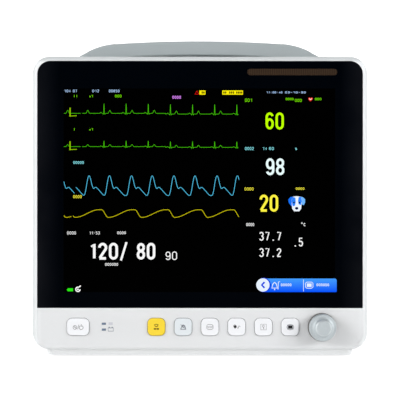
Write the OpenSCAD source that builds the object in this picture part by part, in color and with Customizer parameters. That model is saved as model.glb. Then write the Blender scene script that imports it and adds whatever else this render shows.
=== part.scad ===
// Bedside patient monitor: 12.1-inch screen, keys and a knob in front, handle on top, sockets at the side.
// X runs to the right as seen from the front, the front faces -Y, Z is up from the table.

/* [Front bezel] */
// Width of the front bezel
bezel_w = 303; // [298:1:315]
// Height of the front bezel
bezel_h = 265.5; // [262:0.5:275]
// Corner radius of the front bezel
bezel_r = 15; // [12:0.5:17]
// Depth of the bezel's side walls
bezel_depth = 30; // [27:1:33]
// Width of the rounded rim around the glass
rim = 4.2; // [4:0.1:5.5]
// Wall thickness of the bezel
bezel_wall = 3; // [2.5:0.1:3.5]
// Height of the control strip and rim below the glass
strip_h = 37.7; // [37:0.1:40]
// Height of the bezel's lower edge above the table
bezel_lift = 7; // [6:0.5:9]

/* [Display] */
// Width from the side of the bezel to the lit area of the screen
side_border = 28.5; // [28.5:0.5:32]
// Height of the black border above the lit area
top_border = 25.05; // [24.25:0.05:28]
// Height of the black border below the lit area
bottom_border = 14.05; // [13:0.05:18]
// Thickness of the cover glass
glass_t = 2; // [1.5:0.1:2.5]
// Thickness of the display panel
panel_t = 10; // [8:0.5:11]
// Length of the alarm light window
lens_w = 81.4; // [70:0.2:83]
// Height of the alarm light window
lens_h = 5.8; // [5:0.1:6.5]

/* [Keys and knob] */
// Side length of a square key
key_size = 15.7; // [15:0.1:16.6]
// Distance between the middles of two square keys
key_pitch = 24.2; // [23.5:0.1:24.6]
// Distance from the left side of the bezel to the middle of the power key
power_inset = 41.3; // [40.5:0.1:44]
// Width of the power key
power_key_w = 19.8; // [18:0.1:21]
// How far the keys stand out of the bezel
key_rise = 1.3; // [1:0.1:2]
// Travel of a key when it is pressed
key_travel = 1.2; // [0.8:0.1:1.3]
// Height of the row of keys above the bezel's lower edge
key_row = 20.7; // [19.5:0.1:21]
// Diameter of the knob
knob_d = 25.6; // [23:0.2:27]
// How far the knob stands out of the bezel
knob_h = 15; // [12:0.5:18]
// Distance from the right side of the bezel to the middle of the knob
knob_inset = 41.4; // [39.5:0.1:44]
// Distance from the middle of the last key to the middle of the knob
knob_step = 28.5; // [28:0.1:30]
// Travel of the knob when it is pushed
push_travel = 0.8; // [0.5:0.1:0.9]

/* [Rear housing] */
// Depth of the whole case behind the front face
case_depth = 140; // [136:1:150]
// Wall thickness of the rear housing
wall = 2.6; // [2.2:0.1:3]
// Depth at which the rear housing starts to taper
taper_start = 92; // [90:1:96]
// Width of the flat rear wall
back_w = 240; // [230:1:256]
// Drop of the housing's top down to the rear wall
back_drop = 34; // [28:1:40]
// Width of the finger well under the handle
well_w = 196; // [180:1:198]
// Depth of the finger well below the housing's top
well_drop = 27; // [24:0.5:29]

/* [Handle] */
// Height of the handle's crest above the bezel
handle_rise = 20.2; // [19:0.1:23]
// Thickness of the handle's bar
bar_t = 13.5; // [11.5:0.1:14]
// Width of the handle's bar from front to back
bar_depth = 26; // [22:1:28]
// Depth of the handle's middle behind the front face
handle_y = 56; // [54:1:60]

/* [Base] */
// Width of the base where it meets the housing
base_w = 279; // [274:1:288]
// Depth of the base's front edge behind the front face
base_front = 6; // [5:1:12]
// Height of the feet below the base
foot_h = 1.9; // [0.8:0.1:2.2]
// Length of each foot pad across the base
foot_w = 44; // [36:1:48]

/* [Battery and sockets] */
// Width of the battery from front to back
battery_d = 41; // [36:1:41]
// Height of the battery
battery_h = 65; // [60:1:68]
// Length of the battery into the case
battery_l = 88; // [76:1:90]
// Height of the patient socket panel
socket_panel_h = 150; // [148:1:156]
// Radius of the heart-lead socket
ecg_r = 10; // [9:0.5:11]
// Radius of the oxygen sensor socket
oxygen_r = 8.5; // [8:0.5:9.5]
// Radius of a temperature socket
temperature_r = 6; // [5:0.5:6.5]
// Radius of the cuff air port
cuff_r = 7.5; // [7:0.5:8.5]
// Distance between mounting inserts across the base
insert_x = 100; // [90:2:110]
// Distance between mounting inserts from front to back
insert_y = 50; // [40:2:60]

/* [Hidden] */
$fn = 64;

// Clearances
fit = 0.15;
slip = 0.3;
run = 0.05;
screw_slip = 0.2;
cut = 1;

// Heights above the table and the plane of the front face
top_z = bezel_lift + bezel_h;
mid_z = bezel_lift + bezel_h / 2;
face_y = (knob_h - case_depth) / 2;

// Glass, face plate behind it and screen
glass_sink = 0.3;
glass_w = bezel_w - 2 * rim;
glass_h = bezel_h - rim - strip_h;
glass_z = top_z - rim - glass_h / 2;
glass_ease = 1;
glass_r = bezel_r - rim + glass_ease;
shelf_y = glass_sink + glass_t;
face_t = 2.5;
plate_y = shelf_y + face_t;
strip_sink = 0.3;
strip_ridge = 1.4;
screen_x = -0.5;
screen_w = bezel_w - 2 * side_border;
screen_h = glass_h - top_border - bottom_border;
screen_z = glass_z + (bottom_border - top_border) / 2;
window_lap = 3;
panel_side = 12;
panel_edge = 9.5;
panel_w = screen_w + 2 * panel_side;
panel_h = screen_h + 2 * panel_edge;
lens_inset = 23.2;
lens_drop = 10;
lens_x = glass_w / 2 - lens_inset - lens_w / 2;
lens_z = top_z - rim - lens_drop;
lens_lip = 1.5;
lens_lip_t = 1.2;

// Keys, switches and their board
key_z = bezel_lift + key_row;
keys = 6;
power_key_x = power_inset - bezel_w / 2;
knob_x = bezel_w / 2 - knob_inset;
first_key_x = knob_x - knob_step - (keys - 1) * key_pitch;
key_r = 4.5;
key_gap = 0.35;
key_lip = 1.4;
key_lip_t = 1;
power_key_h = 15.6;
switch_y = plate_y + key_lip_t + key_travel + slip;
switch_h = 4.3;
button_h = 0.8;
board_t = 1.6;
board_y = switch_y + button_h + switch_h;
board_h = 28;
board_margin = 8;
board_x0 = power_key_x - power_key_w / 2 - board_margin;
board_x1 = knob_x + knob_d / 2 + board_margin;
post_r = 2.5;
post_rise = 11;
post_inset = 3;
lamp_gap = 13.4;
lamp_x = power_key_x + power_key_w / 2 + lamp_gap;
lamp_rise = [2.8, -2.5];
lamp_size = [3.6, 1.8];
lamp_chip_h = 1.5;

// Knob and encoder
push_spare = 0.4;
knob_gap = push_travel + push_spare;
knob_taper = 0.8;
knob_edge = 0.7;
skirt_h = 9;
cap_r = 7.2;
cap_bevel = 1.1;
shaft_r = 3;
shaft_grip = 9;
bushing_r = 4.4;
encoder_size = 14;
encoder_t = 6;
encoder_y = board_y - encoder_t;
pocket_r = 5.6;
plunger_t = 1;
plunger_set = 2;
plunger_y = encoder_y + plunger_set;

// Rear housing
seam_inset = 1;
house_w = bezel_w - 2 * seam_inset;
house_top = top_z - seam_inset;
house_bottom = bezel_lift + seam_inset;
house_r = bezel_r - seam_inset;
side_x = house_w / 2;
belly_rise = 14;
fold_r = 10;
rear_edge_r = 9;
well_margin = 4;
well_over = 3;
well_y0 = bezel_depth + well_margin;
well_y1 = taper_start + well_over;
well_r = 10;
top_over = 8;
top_taper = taper_start + top_over;
boss_inset = 11.5;
boss_low = 15;
boss_high = 24;
boss_x = bezel_w / 2 - boss_inset;
boss_r = 4;
boss_z = [bezel_lift + boss_low, top_z - boss_high];
pillar_r = 6;
screw_r = 1.75;
screw_head_r = 3.4;
screw_head_t = 2.6;
recess_l = 3.8;
recess_w = 1;
recess_t = 1.3;
screw_floor = 4;
screw_reach = 30;
head_y = bezel_depth + screw_reach;
chassis_t = 1.2;
standoff_l = 12;
boards_y = bezel_depth + chassis_t + standoff_l;

// Pocket in the rear wall for the mains and network sockets
pocket_depth = 15;
pocket_rise = 51;
pocket_lip = [6, 3];
socket_y = case_depth - pocket_depth;
socket_x = -32;
socket_z = bezel_lift + pocket_rise;
socket_w = 150;
socket_h = 34;
inlet_step = 20;
network_step = 30;
earth_in = 15;
plate_t = 2;
earth_x = socket_x - socket_w / 2 + earth_in;
inlet_x = socket_x - inlet_step;
network_x = socket_x + network_step;

// Battery and its door in the right wall
bay_wall = 1.5;
battery_gap = 0.5;
battery_set = 33;
battery_rise = 81;
battery_y = bezel_depth + battery_set;
battery_z = bezel_lift + battery_rise;
bay_d = battery_d + 2 * battery_gap;
bay_h = battery_h + 2 * battery_gap;
bay_x1 = side_x - wall;
bay_spare = 8;
bay_x0 = bay_x1 - battery_l - bay_spare;
door_side = 2.5;
door_over = 4.5;
door_d = bay_d + 2 * door_side;
door_h = bay_h + 2 * door_over;
door_z0 = battery_z - door_h / 2;
hinge_r = 2.3;
pin_r = 1.25;
pin_x = side_x - hinge_r;
pin_z = door_z0 + hinge_r;
lug_t = 4;
lug_reach = 3.5;

// Patient sockets in the left wall
panel_y = battery_y;
panel_d = 44;
panel_rise = 10.25;
panel_z = mid_z + panel_rise;
panel_x = wall - side_x;
panel_lip = 3;
socket_body = 18;
socket_rise = wall;
socket_lip = 1.6;
socket_bore_in = 3;
ecg_z = panel_z + 0.36 * socket_panel_h;
oxygen_z = panel_z + 0.14 * socket_panel_h;
temperature_z = [panel_z - 0.05 * socket_panel_h, panel_z - 0.18 * socket_panel_h];
cuff_z = panel_z - 0.36 * socket_panel_h;
parameter_x = panel_x + plate_t + socket_body;

// Base
base_top = bezel_lift;
base_taper = 0.6;
base_over = 20;
base_back = taper_start + base_over;
base_corner = 8;
foot_d = 26;
foot_r = 4;
foot_setback = 20;
foot_inset = 4;
foot_sink = 2;
insert_r = 3.2;
insert_bore = 2;

// Colours
case_white = [0.90, 0.91, 0.92];
key_white = [0.95, 0.96, 0.97];
handle_grey = [0.65, 0.68, 0.69];
board_green = [0.10, 0.35, 0.20];
steel = [0.72, 0.73, 0.75];
black_plastic = [0.10, 0.10, 0.11];

// Puts a piece that is drawn behind the front face plane into the frame of the whole monitor
module placed() {
  translate([0, face_y, 0]) children();
}

// Rectangle around the origin with round corners
module round_rect(w, h, r) {
  square([w - 2 * r, h], center = true);
  if (h > 2 * r)
    square([w, h - 2 * r], center = true);
  for (sx = [-1, 1], sy = [-1, 1])
    translate([sx * (w / 2 - r), sy * (h / 2 - r)]) circle(r);
}

// Upright outline drawn in X and Z, from one depth to another
module upright(y0, y1) {
  translate([0, y1, 0]) rotate([90, 0, 0]) linear_extrude(y1 - y0) children();
}

// Upright plate with round corners, around a point in X and Z
module plate(w, h, r, y0, y1, x = 0, z = 0) {
  translate([x, 0, z]) upright(y0, y1) round_rect(w, h, r);
}

// Box between two depths, around a point in X and Z
module block(w, h, y0, y1, x = 0, z = 0) {
  translate([x - w / 2, y0, z - h / 2]) cube([w, y1 - y0, h]);
}

// Cylinder along the depth
module rod(r, y0, y1, x = 0, z = 0) {
  translate([x, y0, z]) rotate([-90, 0, 0]) cylinder(r = r, h = y1 - y0);
}

// Cylinder along X
module cross_rod(r, x0, x1, y, z) {
  translate([x0, y, z]) rotate([0, 90, 0]) cylinder(r = r, h = x1 - x0);
}

// What has to come off a corner of an outline to round it with a true arc
module corner_trim(before, corner, after, r) {
  u = (before - corner) / norm(before - corner);
  v = (after - corner) / norm(after - corner);
  half = acos(u * v) / 2;
  reach = r / tan(half);
  middle = corner + (u + v) / norm(u + v) * r / sin(half);
  difference() {
    polygon([corner - u - v, corner + u * reach - v, corner + u * reach, middle,
      corner + v * reach, corner + v * reach - u]);
    translate(middle) circle(r);
  }
}

// Outline with some of its corners rounded
module soft_polygon(points, radii) {
  n = len(points);
  difference() {
    polygon(points);
    for (i = [0 : n - 1])
      if (radii[i] > 0)
        corner_trim(points[(i + n - 1) % n], points[i], points[(i + 1) % n], radii[i]);
  }
}

// Section through a slab's edge with a round front corner
module edge_section(r, edge, depth) {
  difference() {
    square([r, depth]);
    difference() {
      translate([r - edge, -cut]) square([edge + cut, edge + cut]);
      translate([r - edge, edge]) circle(edge);
    }
  }
}

// Upright slab with round corners and a rounded edge all round its front
module soft_slab(w, h, r, edge, depth) {
  block(w - 2 * r, h - 2 * r, 0, depth);
  for (turn = [0, 180])
    rotate([0, turn, 0]) {
      translate([w / 2 - r, 0, r - h / 2]) linear_extrude(h - 2 * r) edge_section(r, edge, depth);
      translate([r - w / 2, 0, h / 2 - r])
        rotate([0, -90, 180]) linear_extrude(w - 2 * r) mirror([0, 1]) edge_section(r, edge, depth);
    }
  for (corner = [[1, 1, 0], [-1, 1, 90], [-1, -1, 180], [1, -1, 270]])
    translate([corner[0] * (w / 2 - r), 0, corner[1] * (h / 2 - r)])
      rotate([0, -corner[2], 0]) rotate([90, 0, 0]) mirror([0, 0, 1])
        rotate_extrude(angle = 90) edge_section(r, edge, depth);
}

// Front outline of the glass, round at the top and square at the bottom
module glass_outline(gap) {
  w = glass_w - 2 * gap;
  h = glass_h - 2 * gap;
  translate([0, glass_z])
    soft_polygon([[-w / 2, -h / 2], [w / 2, -h / 2], [w / 2, h / 2], [-w / 2, h / 2]],
      [0, 0, glass_r, glass_r]);
}

// Outline of the flat strip below the glass, round at the bottom
module strip_outline() {
  z0 = bezel_lift + rim;
  z1 = glass_z - glass_h / 2 - strip_ridge;
  r = bezel_r - rim;
  soft_polygon([[-glass_w / 2, z0], [glass_w / 2, z0], [glass_w / 2, z1], [-glass_w / 2, z1]], [r, r, 0, 0]);
}

function key_x(i) = first_key_x + i * key_pitch;

// Opening for a key, or the key's cap when drawn without a gap
module key_block(w, h, x, y0, y1, gap) {
  plate(w + 2 * gap, h + 2 * gap, key_r + gap, y0, y1, x, key_z);
}

// Posts that carry the key board
module board_posts(r, y0, y1) {
  for (x = [board_x0 + post_inset, (lamp_x + first_key_x) / 2, board_x1 - post_inset], s = [-1, 1])
    rod(r, y0, y1, x, key_z + s * post_rise);
}

module front_bezel() {
  color(case_white) placed() difference() {
    union() {
      difference() {
        translate([0, 0, mid_z]) soft_slab(bezel_w, bezel_h, bezel_r, rim, bezel_depth);
        plate(bezel_w - 2 * bezel_wall, bezel_h - 2 * bezel_wall, bezel_r - bezel_wall,
          plate_y, bezel_depth + cut, 0, mid_z);
      }
      for (s = [-1, 1], z = boss_z)
        rod(boss_r, shelf_y, bezel_depth, s * boss_x, z);
      board_posts(post_r, shelf_y, board_y);
    }
    upright(-cut, shelf_y) glass_outline(0);
    upright(-cut, strip_sink) strip_outline();
    block(screen_w + window_lap, screen_h + window_lap, 0, plate_y + cut, screen_x, screen_z);
    plate(lens_w + 2 * fit, lens_h + 2 * fit, lens_h / 2 + fit, 0, plate_y + cut, lens_x, lens_z);
    key_block(power_key_w, power_key_h, power_key_x, -cut, plate_y + cut, key_gap);
    for (i = [0 : keys - 1])
      key_block(key_size, key_size, key_x(i), -cut, plate_y + cut, key_gap);
    for (rise = lamp_rise)
      block(lamp_size[0] + 2 * fit, lamp_size[1] + 2 * fit, -cut, plate_y + cut, lamp_x, key_z + rise);
    rod(bushing_r + slip, -cut, plate_y + cut, knob_x, key_z);
    for (s = [-1, 1], z = boss_z)
      rod(screw_r, plate_y + screw_floor, bezel_depth + cut, s * boss_x, z);
  }
}

module screen_glass() {
  color([0.02, 0.03, 0.05]) placed() difference() {
    upright(glass_sink, shelf_y) glass_outline(fit);
    plate(lens_w + 2 * fit, lens_h + 2 * fit, lens_h / 2 + fit, 0, shelf_y + cut, lens_x, lens_z);
  }
}

module display_panel() {
  lamp_rail_w = 16;
  lamp_rail_t = 3;
  color([0.12, 0.12, 0.13]) placed() {
    block(panel_w, panel_h, plate_y, plate_y + panel_t - lamp_rail_t, screen_x, screen_z);
    block(panel_w - lamp_rail_w, panel_h - lamp_rail_w, plate_y, plate_y + panel_t, screen_x, screen_z);
  }
}

// Angle brackets that hold the panel's left and right edges against the bezel
module panel_brackets() {
  bracket_h = 0.65 * screen_h;
  foot = 5;
  lap = 14;
  sheet = 1;
  back = plate_y + panel_t;
  color(steel) placed() for (s = [-1, 1]) {
    edge = screen_x + s * panel_w / 2;
    block(sheet, bracket_h, plate_y, back + sheet, edge + s * sheet / 2, screen_z);
    block(foot, bracket_h, plate_y, plate_y + sheet, edge + s * foot / 2, screen_z);
    block(lap, bracket_h, back, back + sheet, edge - s * lap / 2, screen_z);
  }
}

module alarm_lens() {
  color([0.22, 0.17, 0.13]) placed() {
    plate(lens_w, lens_h, lens_h / 2, glass_sink, plate_y, lens_x, lens_z);
    plate(lens_w + 2 * lens_lip, lens_h + 2 * lens_lip, lens_h / 2 + lens_lip,
      plate_y, plate_y + lens_lip_t, lens_x, lens_z);
  }
}

module alarm_light_board() {
  lamp = 3;
  lamp_t = 1;
  lamps = 6;
  back = plate_y + lens_lip_t;
  color(board_green) placed() {
    block(lens_w, lens_h, back + lamp_t, back + lamp_t + board_t, lens_x, lens_z);
    for (i = [0 : lamps - 1])
      block(lamp, lamp, back, back + lamp_t, lens_x + (i - (lamps - 1) / 2) * lens_w / lamps, lens_z);
  }
}

module key_board() {
  color(board_green) placed() {
    block(board_x1 - board_x0, board_h, board_y, board_y + board_t, (board_x0 + board_x1) / 2, key_z);
    for (rise = lamp_rise)
      block(lamp_size[0], lamp_size[1], board_y - lamp_chip_h, board_y, lamp_x, key_z + rise);
  }
}

module key_switches() {
  switch_size = 6;
  button_r = 1.7;
  color(black_plastic) placed()
    for (x = concat([power_key_x], [for (i = [0 : keys - 1]) key_x(i)])) {
      block(switch_size, switch_size, switch_y + button_h, board_y, x, key_z);
      rod(button_r, switch_y, switch_y + button_h, x, key_z);
    }
}

module indicator_pipes() {
  color([0.35, 0.41, 0.49]) placed()
    for (rise = lamp_rise)
      block(lamp_size[0], lamp_size[1], strip_sink - fit, board_y - lamp_chip_h, lamp_x, key_z + rise);
}

// A key: cap with a slightly domed front and a retaining lip behind the face plate
module key(w, h, x, tint) {
  cap_edge = 0.8;
  color(tint) placed() {
    translate([x, strip_sink - key_rise, key_z])
      soft_slab(w, h, key_r, cap_edge, plate_y + key_rise - strip_sink);
    plate(w + 2 * key_lip, h + 2 * key_lip, key_r, plate_y, plate_y + key_lip_t, x, key_z);
  }
}

module power_key() {
  key(power_key_w, power_key_h, power_key_x, key_white);
}

module silence_key() {
  key(key_size, key_size, key_x(0), [0.98, 0.84, 0.25]);
}

module reset_key() {
  key(key_size, key_size, key_x(1), [0.87, 0.91, 0.93]);
}

module freeze_key() {
  key(key_size, key_size, key_x(2), key_white);
}

module cuff_key() {
  key(key_size, key_size, key_x(3), key_white);
}

module lead_key() {
  key(key_size, key_size, key_x(4), key_white);
}

module menu_key() {
  key(key_size, key_size, key_x(5), key_white);
}

module encoder_body() {
  bushing_front = 1;
  color(steel) placed() difference() {
    union() {
      block(encoder_size, encoder_size, encoder_y, board_y, knob_x, key_z);
      rod(bushing_r, bushing_front, encoder_y, knob_x, key_z);
    }
    rod(shaft_r + run, -cut, plunger_y, knob_x, key_z);
    rod(pocket_r, plunger_y - slip, board_y - plunger_t, knob_x, key_z);
  }
}

// Disc that the shaft pushes back and that does not turn with it
module encoder_plunger() {
  color(black_plastic) placed()
    rod(pocket_r - slip, plunger_y, plunger_y + plunger_t, knob_x, key_z);
}

module encoder_shaft() {
  color(steel) placed() rod(shaft_r, -knob_gap - shaft_grip, plunger_y, knob_x, key_z);
}

// Turned knob: a skirt with a rounded rim, a hollow flare, and a flat cap with a bevelled edge
module knob() {
  h = knob_h - knob_gap;
  rim_r = knob_d / 2 - knob_taper - knob_edge;
  flare_h = h - cap_bevel - skirt_h;
  flare_w = rim_r - cap_r;
  flare_r = (flare_w * flare_w + flare_h * flare_h) / (2 * flare_w);
  color([0.73, 0.76, 0.78]) placed() translate([knob_x, -knob_gap, key_z]) rotate([90, 0, 0])
    difference() {
      rotate_extrude() {
        polygon([[0, 0], [knob_d / 2, 0], [rim_r + knob_edge, skirt_h - knob_edge],
          [rim_r, skirt_h], [0, skirt_h]]);
        translate([rim_r, skirt_h - knob_edge]) circle(knob_edge);
        difference() {
          translate([0, skirt_h - cut]) square([rim_r, flare_h + cut]);
          translate([cap_r + flare_r, h - cap_bevel]) circle(flare_r, $fn = 128);
        }
        polygon([[0, h - cap_bevel - cut], [cap_r, h - cap_bevel - cut], [cap_r, h - cap_bevel],
          [cap_r - cap_bevel, h], [0, h]]);
      }
      translate([0, 0, -cut]) cylinder(r = shaft_r, h = shaft_grip + cut);
    }
}

// Angles by which the rear housing's sides, top and belly lean in towards the rear wall
taper_run = case_depth - taper_start;
side_lean = atan2(side_x - back_w / 2, taper_run);
top_lean = atan2(back_drop, case_depth - top_taper);
belly_lean = atan2(belly_rise, taper_run);

// Plan of the rear housing, drawn in X and depth
module housing_plan() {
  soft_polygon([[-side_x, bezel_depth], [side_x, bezel_depth], [side_x, taper_start],
    [back_w / 2, case_depth], [-back_w / 2, case_depth], [-side_x, taper_start]],
    [0, 0, fold_r, rear_edge_r, rear_edge_r, fold_r]);
}

// Side view of the rear housing, drawn in depth and Z
module housing_profile() {
  soft_polygon([[bezel_depth, house_bottom], [taper_start, house_bottom],
    [case_depth, house_bottom + belly_rise], [case_depth, house_top - back_drop], [top_taper, house_top],
    [bezel_depth, house_top]], [0, 0, 0, 0, fold_r, 0]);
}

// Front view of the rear housing between two depths, shrunk by an inset
module housing_front(inset, y0, y1) {
  plate(2 * (side_x - inset), house_top - house_bottom - 2 * inset, house_r - inset, y0, y1, 0,
    (house_top + house_bottom) / 2);
}

// Outlines drawn in X and depth, or in depth and Z, made as tall or as wide as the housing
module raised() {
  linear_extrude(top_z + cut) children();
}

module widened() {
  translate([-side_x - cut, 0, 0]) rotate([90, 0, 90]) linear_extrude(2 * (side_x + cut)) children();
}

// The rear housing as a solid
module housing_solid() {
  intersection() {
    housing_front(0, bezel_depth, case_depth + cut);
    raised() housing_plan();
    widened() housing_profile();
  }
}

// The hollow inside the rear housing, open at the front
module housing_cavity() {
  y0 = bezel_depth - cut;
  y_back = case_depth - wall;
  x_back = back_w / 2 - wall * tan(45 - side_lean / 2);
  x_fold = side_x - wall + cut;
  side_fold = y_back - (x_fold - x_back) / tan(side_lean);
  z_back = [house_bottom + belly_rise + wall * tan(45 - belly_lean / 2),
    house_top - back_drop - wall * tan(45 - top_lean / 2)];
  z_fold = [house_bottom + wall - cut, house_top - wall + cut];
  belly_fold = y_back - (z_back[0] - z_fold[0]) / tan(belly_lean);
  top_fold = y_back - (z_fold[1] - z_back[1]) / tan(top_lean);
  intersection() {
    housing_front(wall, y0, case_depth);
    raised() polygon([[-x_fold, y0], [x_fold, y0], [x_fold, side_fold], [x_back, y_back], [-x_back, y_back],
      [-x_fold, side_fold]]);
    widened() polygon([[y0, z_fold[0]], [belly_fold, z_fold[0]], [y_back, z_back[0]], [y_back, z_back[1]],
      [top_fold, z_fold[1]], [y0, z_fold[1]]]);
  }
}

// Space for the fingers below the handle
module finger_well(grow) {
  bottom = house_top - well_drop - grow;
  top = house_top + 2 * well_r;
  plate(well_w + 2 * grow, top - bottom, well_r + grow, well_y0 - grow, well_y1 + grow, 0,
    (top + bottom) / 2);
}

// Recess in the rear wall around the mains and network sockets
module socket_pocket(grow) {
  block(socket_w + 2 * grow, socket_h + 2 * grow, socket_y - grow, case_depth + cut, socket_x, socket_z);
}

// Long slots in the rear wall, in two columns
module vent_slots() {
  slot_w = 64;
  slot_h = 3;
  slot_pitch = 8;
  slots = 8;
  column_x = 50;
  first_z = mid_z - 1.75;
  for (s = [-1, 1], i = [0 : slots - 1])
    block(slot_w, slot_h, case_depth - wall - cut, case_depth + cut, s * column_x, first_z + i * slot_pitch);
}

speaker_rise = 65;
speaker_x = 77;
speaker_z = bezel_lift + speaker_rise;
speaker_r = 24;

// Slots in front of the speaker, longer in the middle
module speaker_slots() {
  slot_h = 2.4;
  slot_pitch = 5;
  rim_gap = 3;
  reach = speaker_r - rim_gap;
  for (i = [-3 : 3])
    block(2 * sqrt(reach * reach - pow(i * slot_pitch, 2)), slot_h, case_depth - wall - cut,
      case_depth + cut, speaker_x, speaker_z + i * slot_pitch);
}

// Ends of the battery door's opening, where the hinge pin is held
module hinge_lugs() {
  side_y = door_d / 2 + slip + lug_t / 2;
  for (s = [-1, 1])
    translate([pin_x - lug_reach, battery_y + s * side_y - lug_t / 2, pin_z - lug_reach])
      cube([lug_reach + hinge_r - cut, lug_t, 2 * lug_reach]);
}

module door_opening() {
  translate([side_x - wall - cut, battery_y - door_d / 2 - slip, door_z0 - slip])
    cube([wall + 2 * cut, door_d + 2 * slip, door_h + 2 * slip]);
}

handle_screw_x = 112;
handle_screw_step = 7;
handle_screw_y = [handle_y - handle_screw_step, handle_y + handle_screw_step];
handle_grip = 5;
foot_x = base_w / 2 - base_taper - foot_w / 2;
foot_y = [base_front + foot_setback + foot_d / 2, base_back - foot_inset - foot_d / 2];
base_screw_gap = 12.1;
base_screw_inset = [14, 12];
base_screw_x = foot_x - foot_w / 2 - screw_head_r - base_screw_gap;
base_screw_y = [bezel_depth + base_screw_inset[0], taper_start - base_screw_inset[1]];
head_sink = 0.5;
base_seat = foot_h + screw_head_t + head_sink;

module rear_housing() {
  color(case_white) placed() difference() {
    union() {
      difference() {
        housing_solid();
        difference() {
          housing_cavity();
          finger_well(wall);
          socket_pocket(wall);
        }
      }
      intersection() {
        housing_solid();
        for (s = [-1, 1], z = boss_z)
          rod(pillar_r, bezel_depth + chassis_t, case_depth, s * boss_x, z);
      }
      hinge_lugs();
    }
    finger_well(0);
    socket_pocket(0);
    block(socket_w - 2 * pocket_lip[0], socket_h - 2 * pocket_lip[1], socket_y - wall - cut, socket_y + cut,
      socket_x, socket_z);
    vent_slots();
    speaker_slots();
    door_opening();
    translate([-side_x - cut, panel_y - panel_d / 2, panel_z - socket_panel_h / 2])
      cube([wall + 2 * cut, panel_d, socket_panel_h]);
    translate([pin_x, battery_y - door_d / 2 - slip - lug_t, pin_z]) rotate([-90, 0, 0])
      cylinder(r = pin_r, h = door_d + 2 * (slip + lug_t));
    for (s = [-1, 1], z = boss_z) {
      rod(screw_r + screw_slip, bezel_depth, head_y, s * boss_x, z);
      rod(screw_head_r + slip, head_y - screw_head_t, case_depth + cut, s * boss_x, z);
    }
    for (s = [-1, 1], y = handle_screw_y)
      translate([s * handle_screw_x, y, house_top - wall - cut])
        cylinder(r = screw_r + screw_slip, h = wall + 2 * cut);
    for (s = [-1, 1], y = base_screw_y)
      translate([s * base_screw_x, y, house_bottom - cut]) cylinder(r = screw_r, h = wall + 2 * cut);
  }
}

// Arch of the handle: a long flat arc, two bends and two straight legs
arch_half = 78.5;
arch_sag = 2.7;
arch_r = (arch_half * arch_half + arch_sag * arch_sag) / (2 * arch_sag);
arch_turn = asin(arch_half / arch_r);
bend_r = 65;
leg_turn = 28;
leg_l = 70;
bend_swell = 0.2;
bend_lap = 2;
bar_edge = 1.8;
crest_z = top_z + handle_rise;

// Section of the handle's bar, which is a little thicker in the bends
module bar_section(swell) {
  round_rect(bar_t + 2 * swell, bar_depth + 2 * swell, bar_edge + swell);
}

module carry_handle() {
  bend_x = (arch_r - bend_r) * sin(arch_turn);
  bend_z = crest_z - arch_r + (arch_r - bend_r) * cos(arch_turn);
  arch_end = asin((arch_half + bend_lap) / arch_r);
  color(handle_grey) placed() difference() {
    translate([0, handle_y, 0]) {
      translate([0, 0, crest_z - arch_r]) rotate([90, 0, 0])
        rotate_extrude(angle = 2 * arch_end, start = 90 - arch_end, $fn = 720)
          translate([arch_r - bar_t / 2, 0]) bar_section(0);
      for (side = [0, 1])
        mirror([side, 0, 0]) translate([bend_x, 0, bend_z]) {
          rotate([90, 0, 0]) rotate_extrude(angle = leg_turn - arch_turn, start = 90 - leg_turn, $fn = 180)
            translate([bend_r - bar_t / 2, 0]) bar_section(bend_swell);
          rotate([0, leg_turn, 0]) translate([-bend_lap, 0, bend_r - bar_t / 2]) rotate([0, 90, 0])
            linear_extrude(leg_l) bar_section(0);
        }
    }
    translate([-bezel_w, 0, house_top - 2 * leg_l]) cube([2 * bezel_w, case_depth, 2 * leg_l]);
    for (s = [-1, 1], y = handle_screw_y)
      translate([s * handle_screw_x, y, house_top - cut]) cylinder(r = screw_r, h = handle_grip + cut);
  }
}

// Cross recess in a screw's head, cut upwards from the head's outer face
module cross_recess() {
  for (turn = [0, 90])
    rotate(turn) translate([-recess_l / 2, -recess_w / 2, -cut]) cube([recess_l, recess_w, recess_t + cut]);
}

module handle_screws() {
  color(steel) placed() for (s = [-1, 1], y = handle_screw_y)
    translate([s * handle_screw_x, y, house_top - wall - screw_head_t]) difference() {
      union() {
        cylinder(r = screw_head_r, h = screw_head_t);
        cylinder(r = screw_r, h = screw_head_t + wall + handle_grip - slip);
      }
      cross_recess();
    }
}

insert_mid = (bezel_depth + taper_start) / 2;

module base_foot() {
  depth = base_back - base_front;
  pad_t = house_bottom - base_top + cut;
  color([0.87, 0.88, 0.89]) placed() difference() {
    union() {
      intersection() {
        upright(base_front - cut, base_back + cut)
          polygon([[-base_w / 2, base_top], [base_w / 2, base_top], [base_w / 2 - base_taper, foot_h],
            [base_taper - base_w / 2, foot_h]]);
        translate([0, base_front + depth / 2, 0]) linear_extrude(base_top)
          round_rect(base_w, depth, base_corner);
      }
      block(base_w - 2 * base_corner, pad_t, bezel_depth + slip, taper_start - fold_r / 2, 0,
        house_bottom - pad_t / 2);
    }
    for (s = [-1, 1], y = foot_y)
      translate([s * foot_x, y, 0]) linear_extrude(foot_h + foot_sink) round_rect(foot_w, foot_d, foot_r);
    for (s = [-1, 1], t = [-1, 1])
      translate([s * insert_x / 2, insert_mid + t * insert_y / 2, 0]) cylinder(r = insert_r, h = top_z);
    for (s = [-1, 1], y = base_screw_y)
      translate([s * base_screw_x, y, 0]) {
        cylinder(r = screw_r + screw_slip, h = top_z);
        cylinder(r = screw_head_r + slip, h = base_seat);
      }
  }
}

module rubber_feet() {
  color([0.82, 0.83, 0.84]) placed() for (s = [-1, 1], y = foot_y)
    translate([s * foot_x, y, 0]) linear_extrude(foot_h + foot_sink)
      round_rect(foot_w - 2 * fit, foot_d - 2 * fit, foot_r - fit);
}

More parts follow.
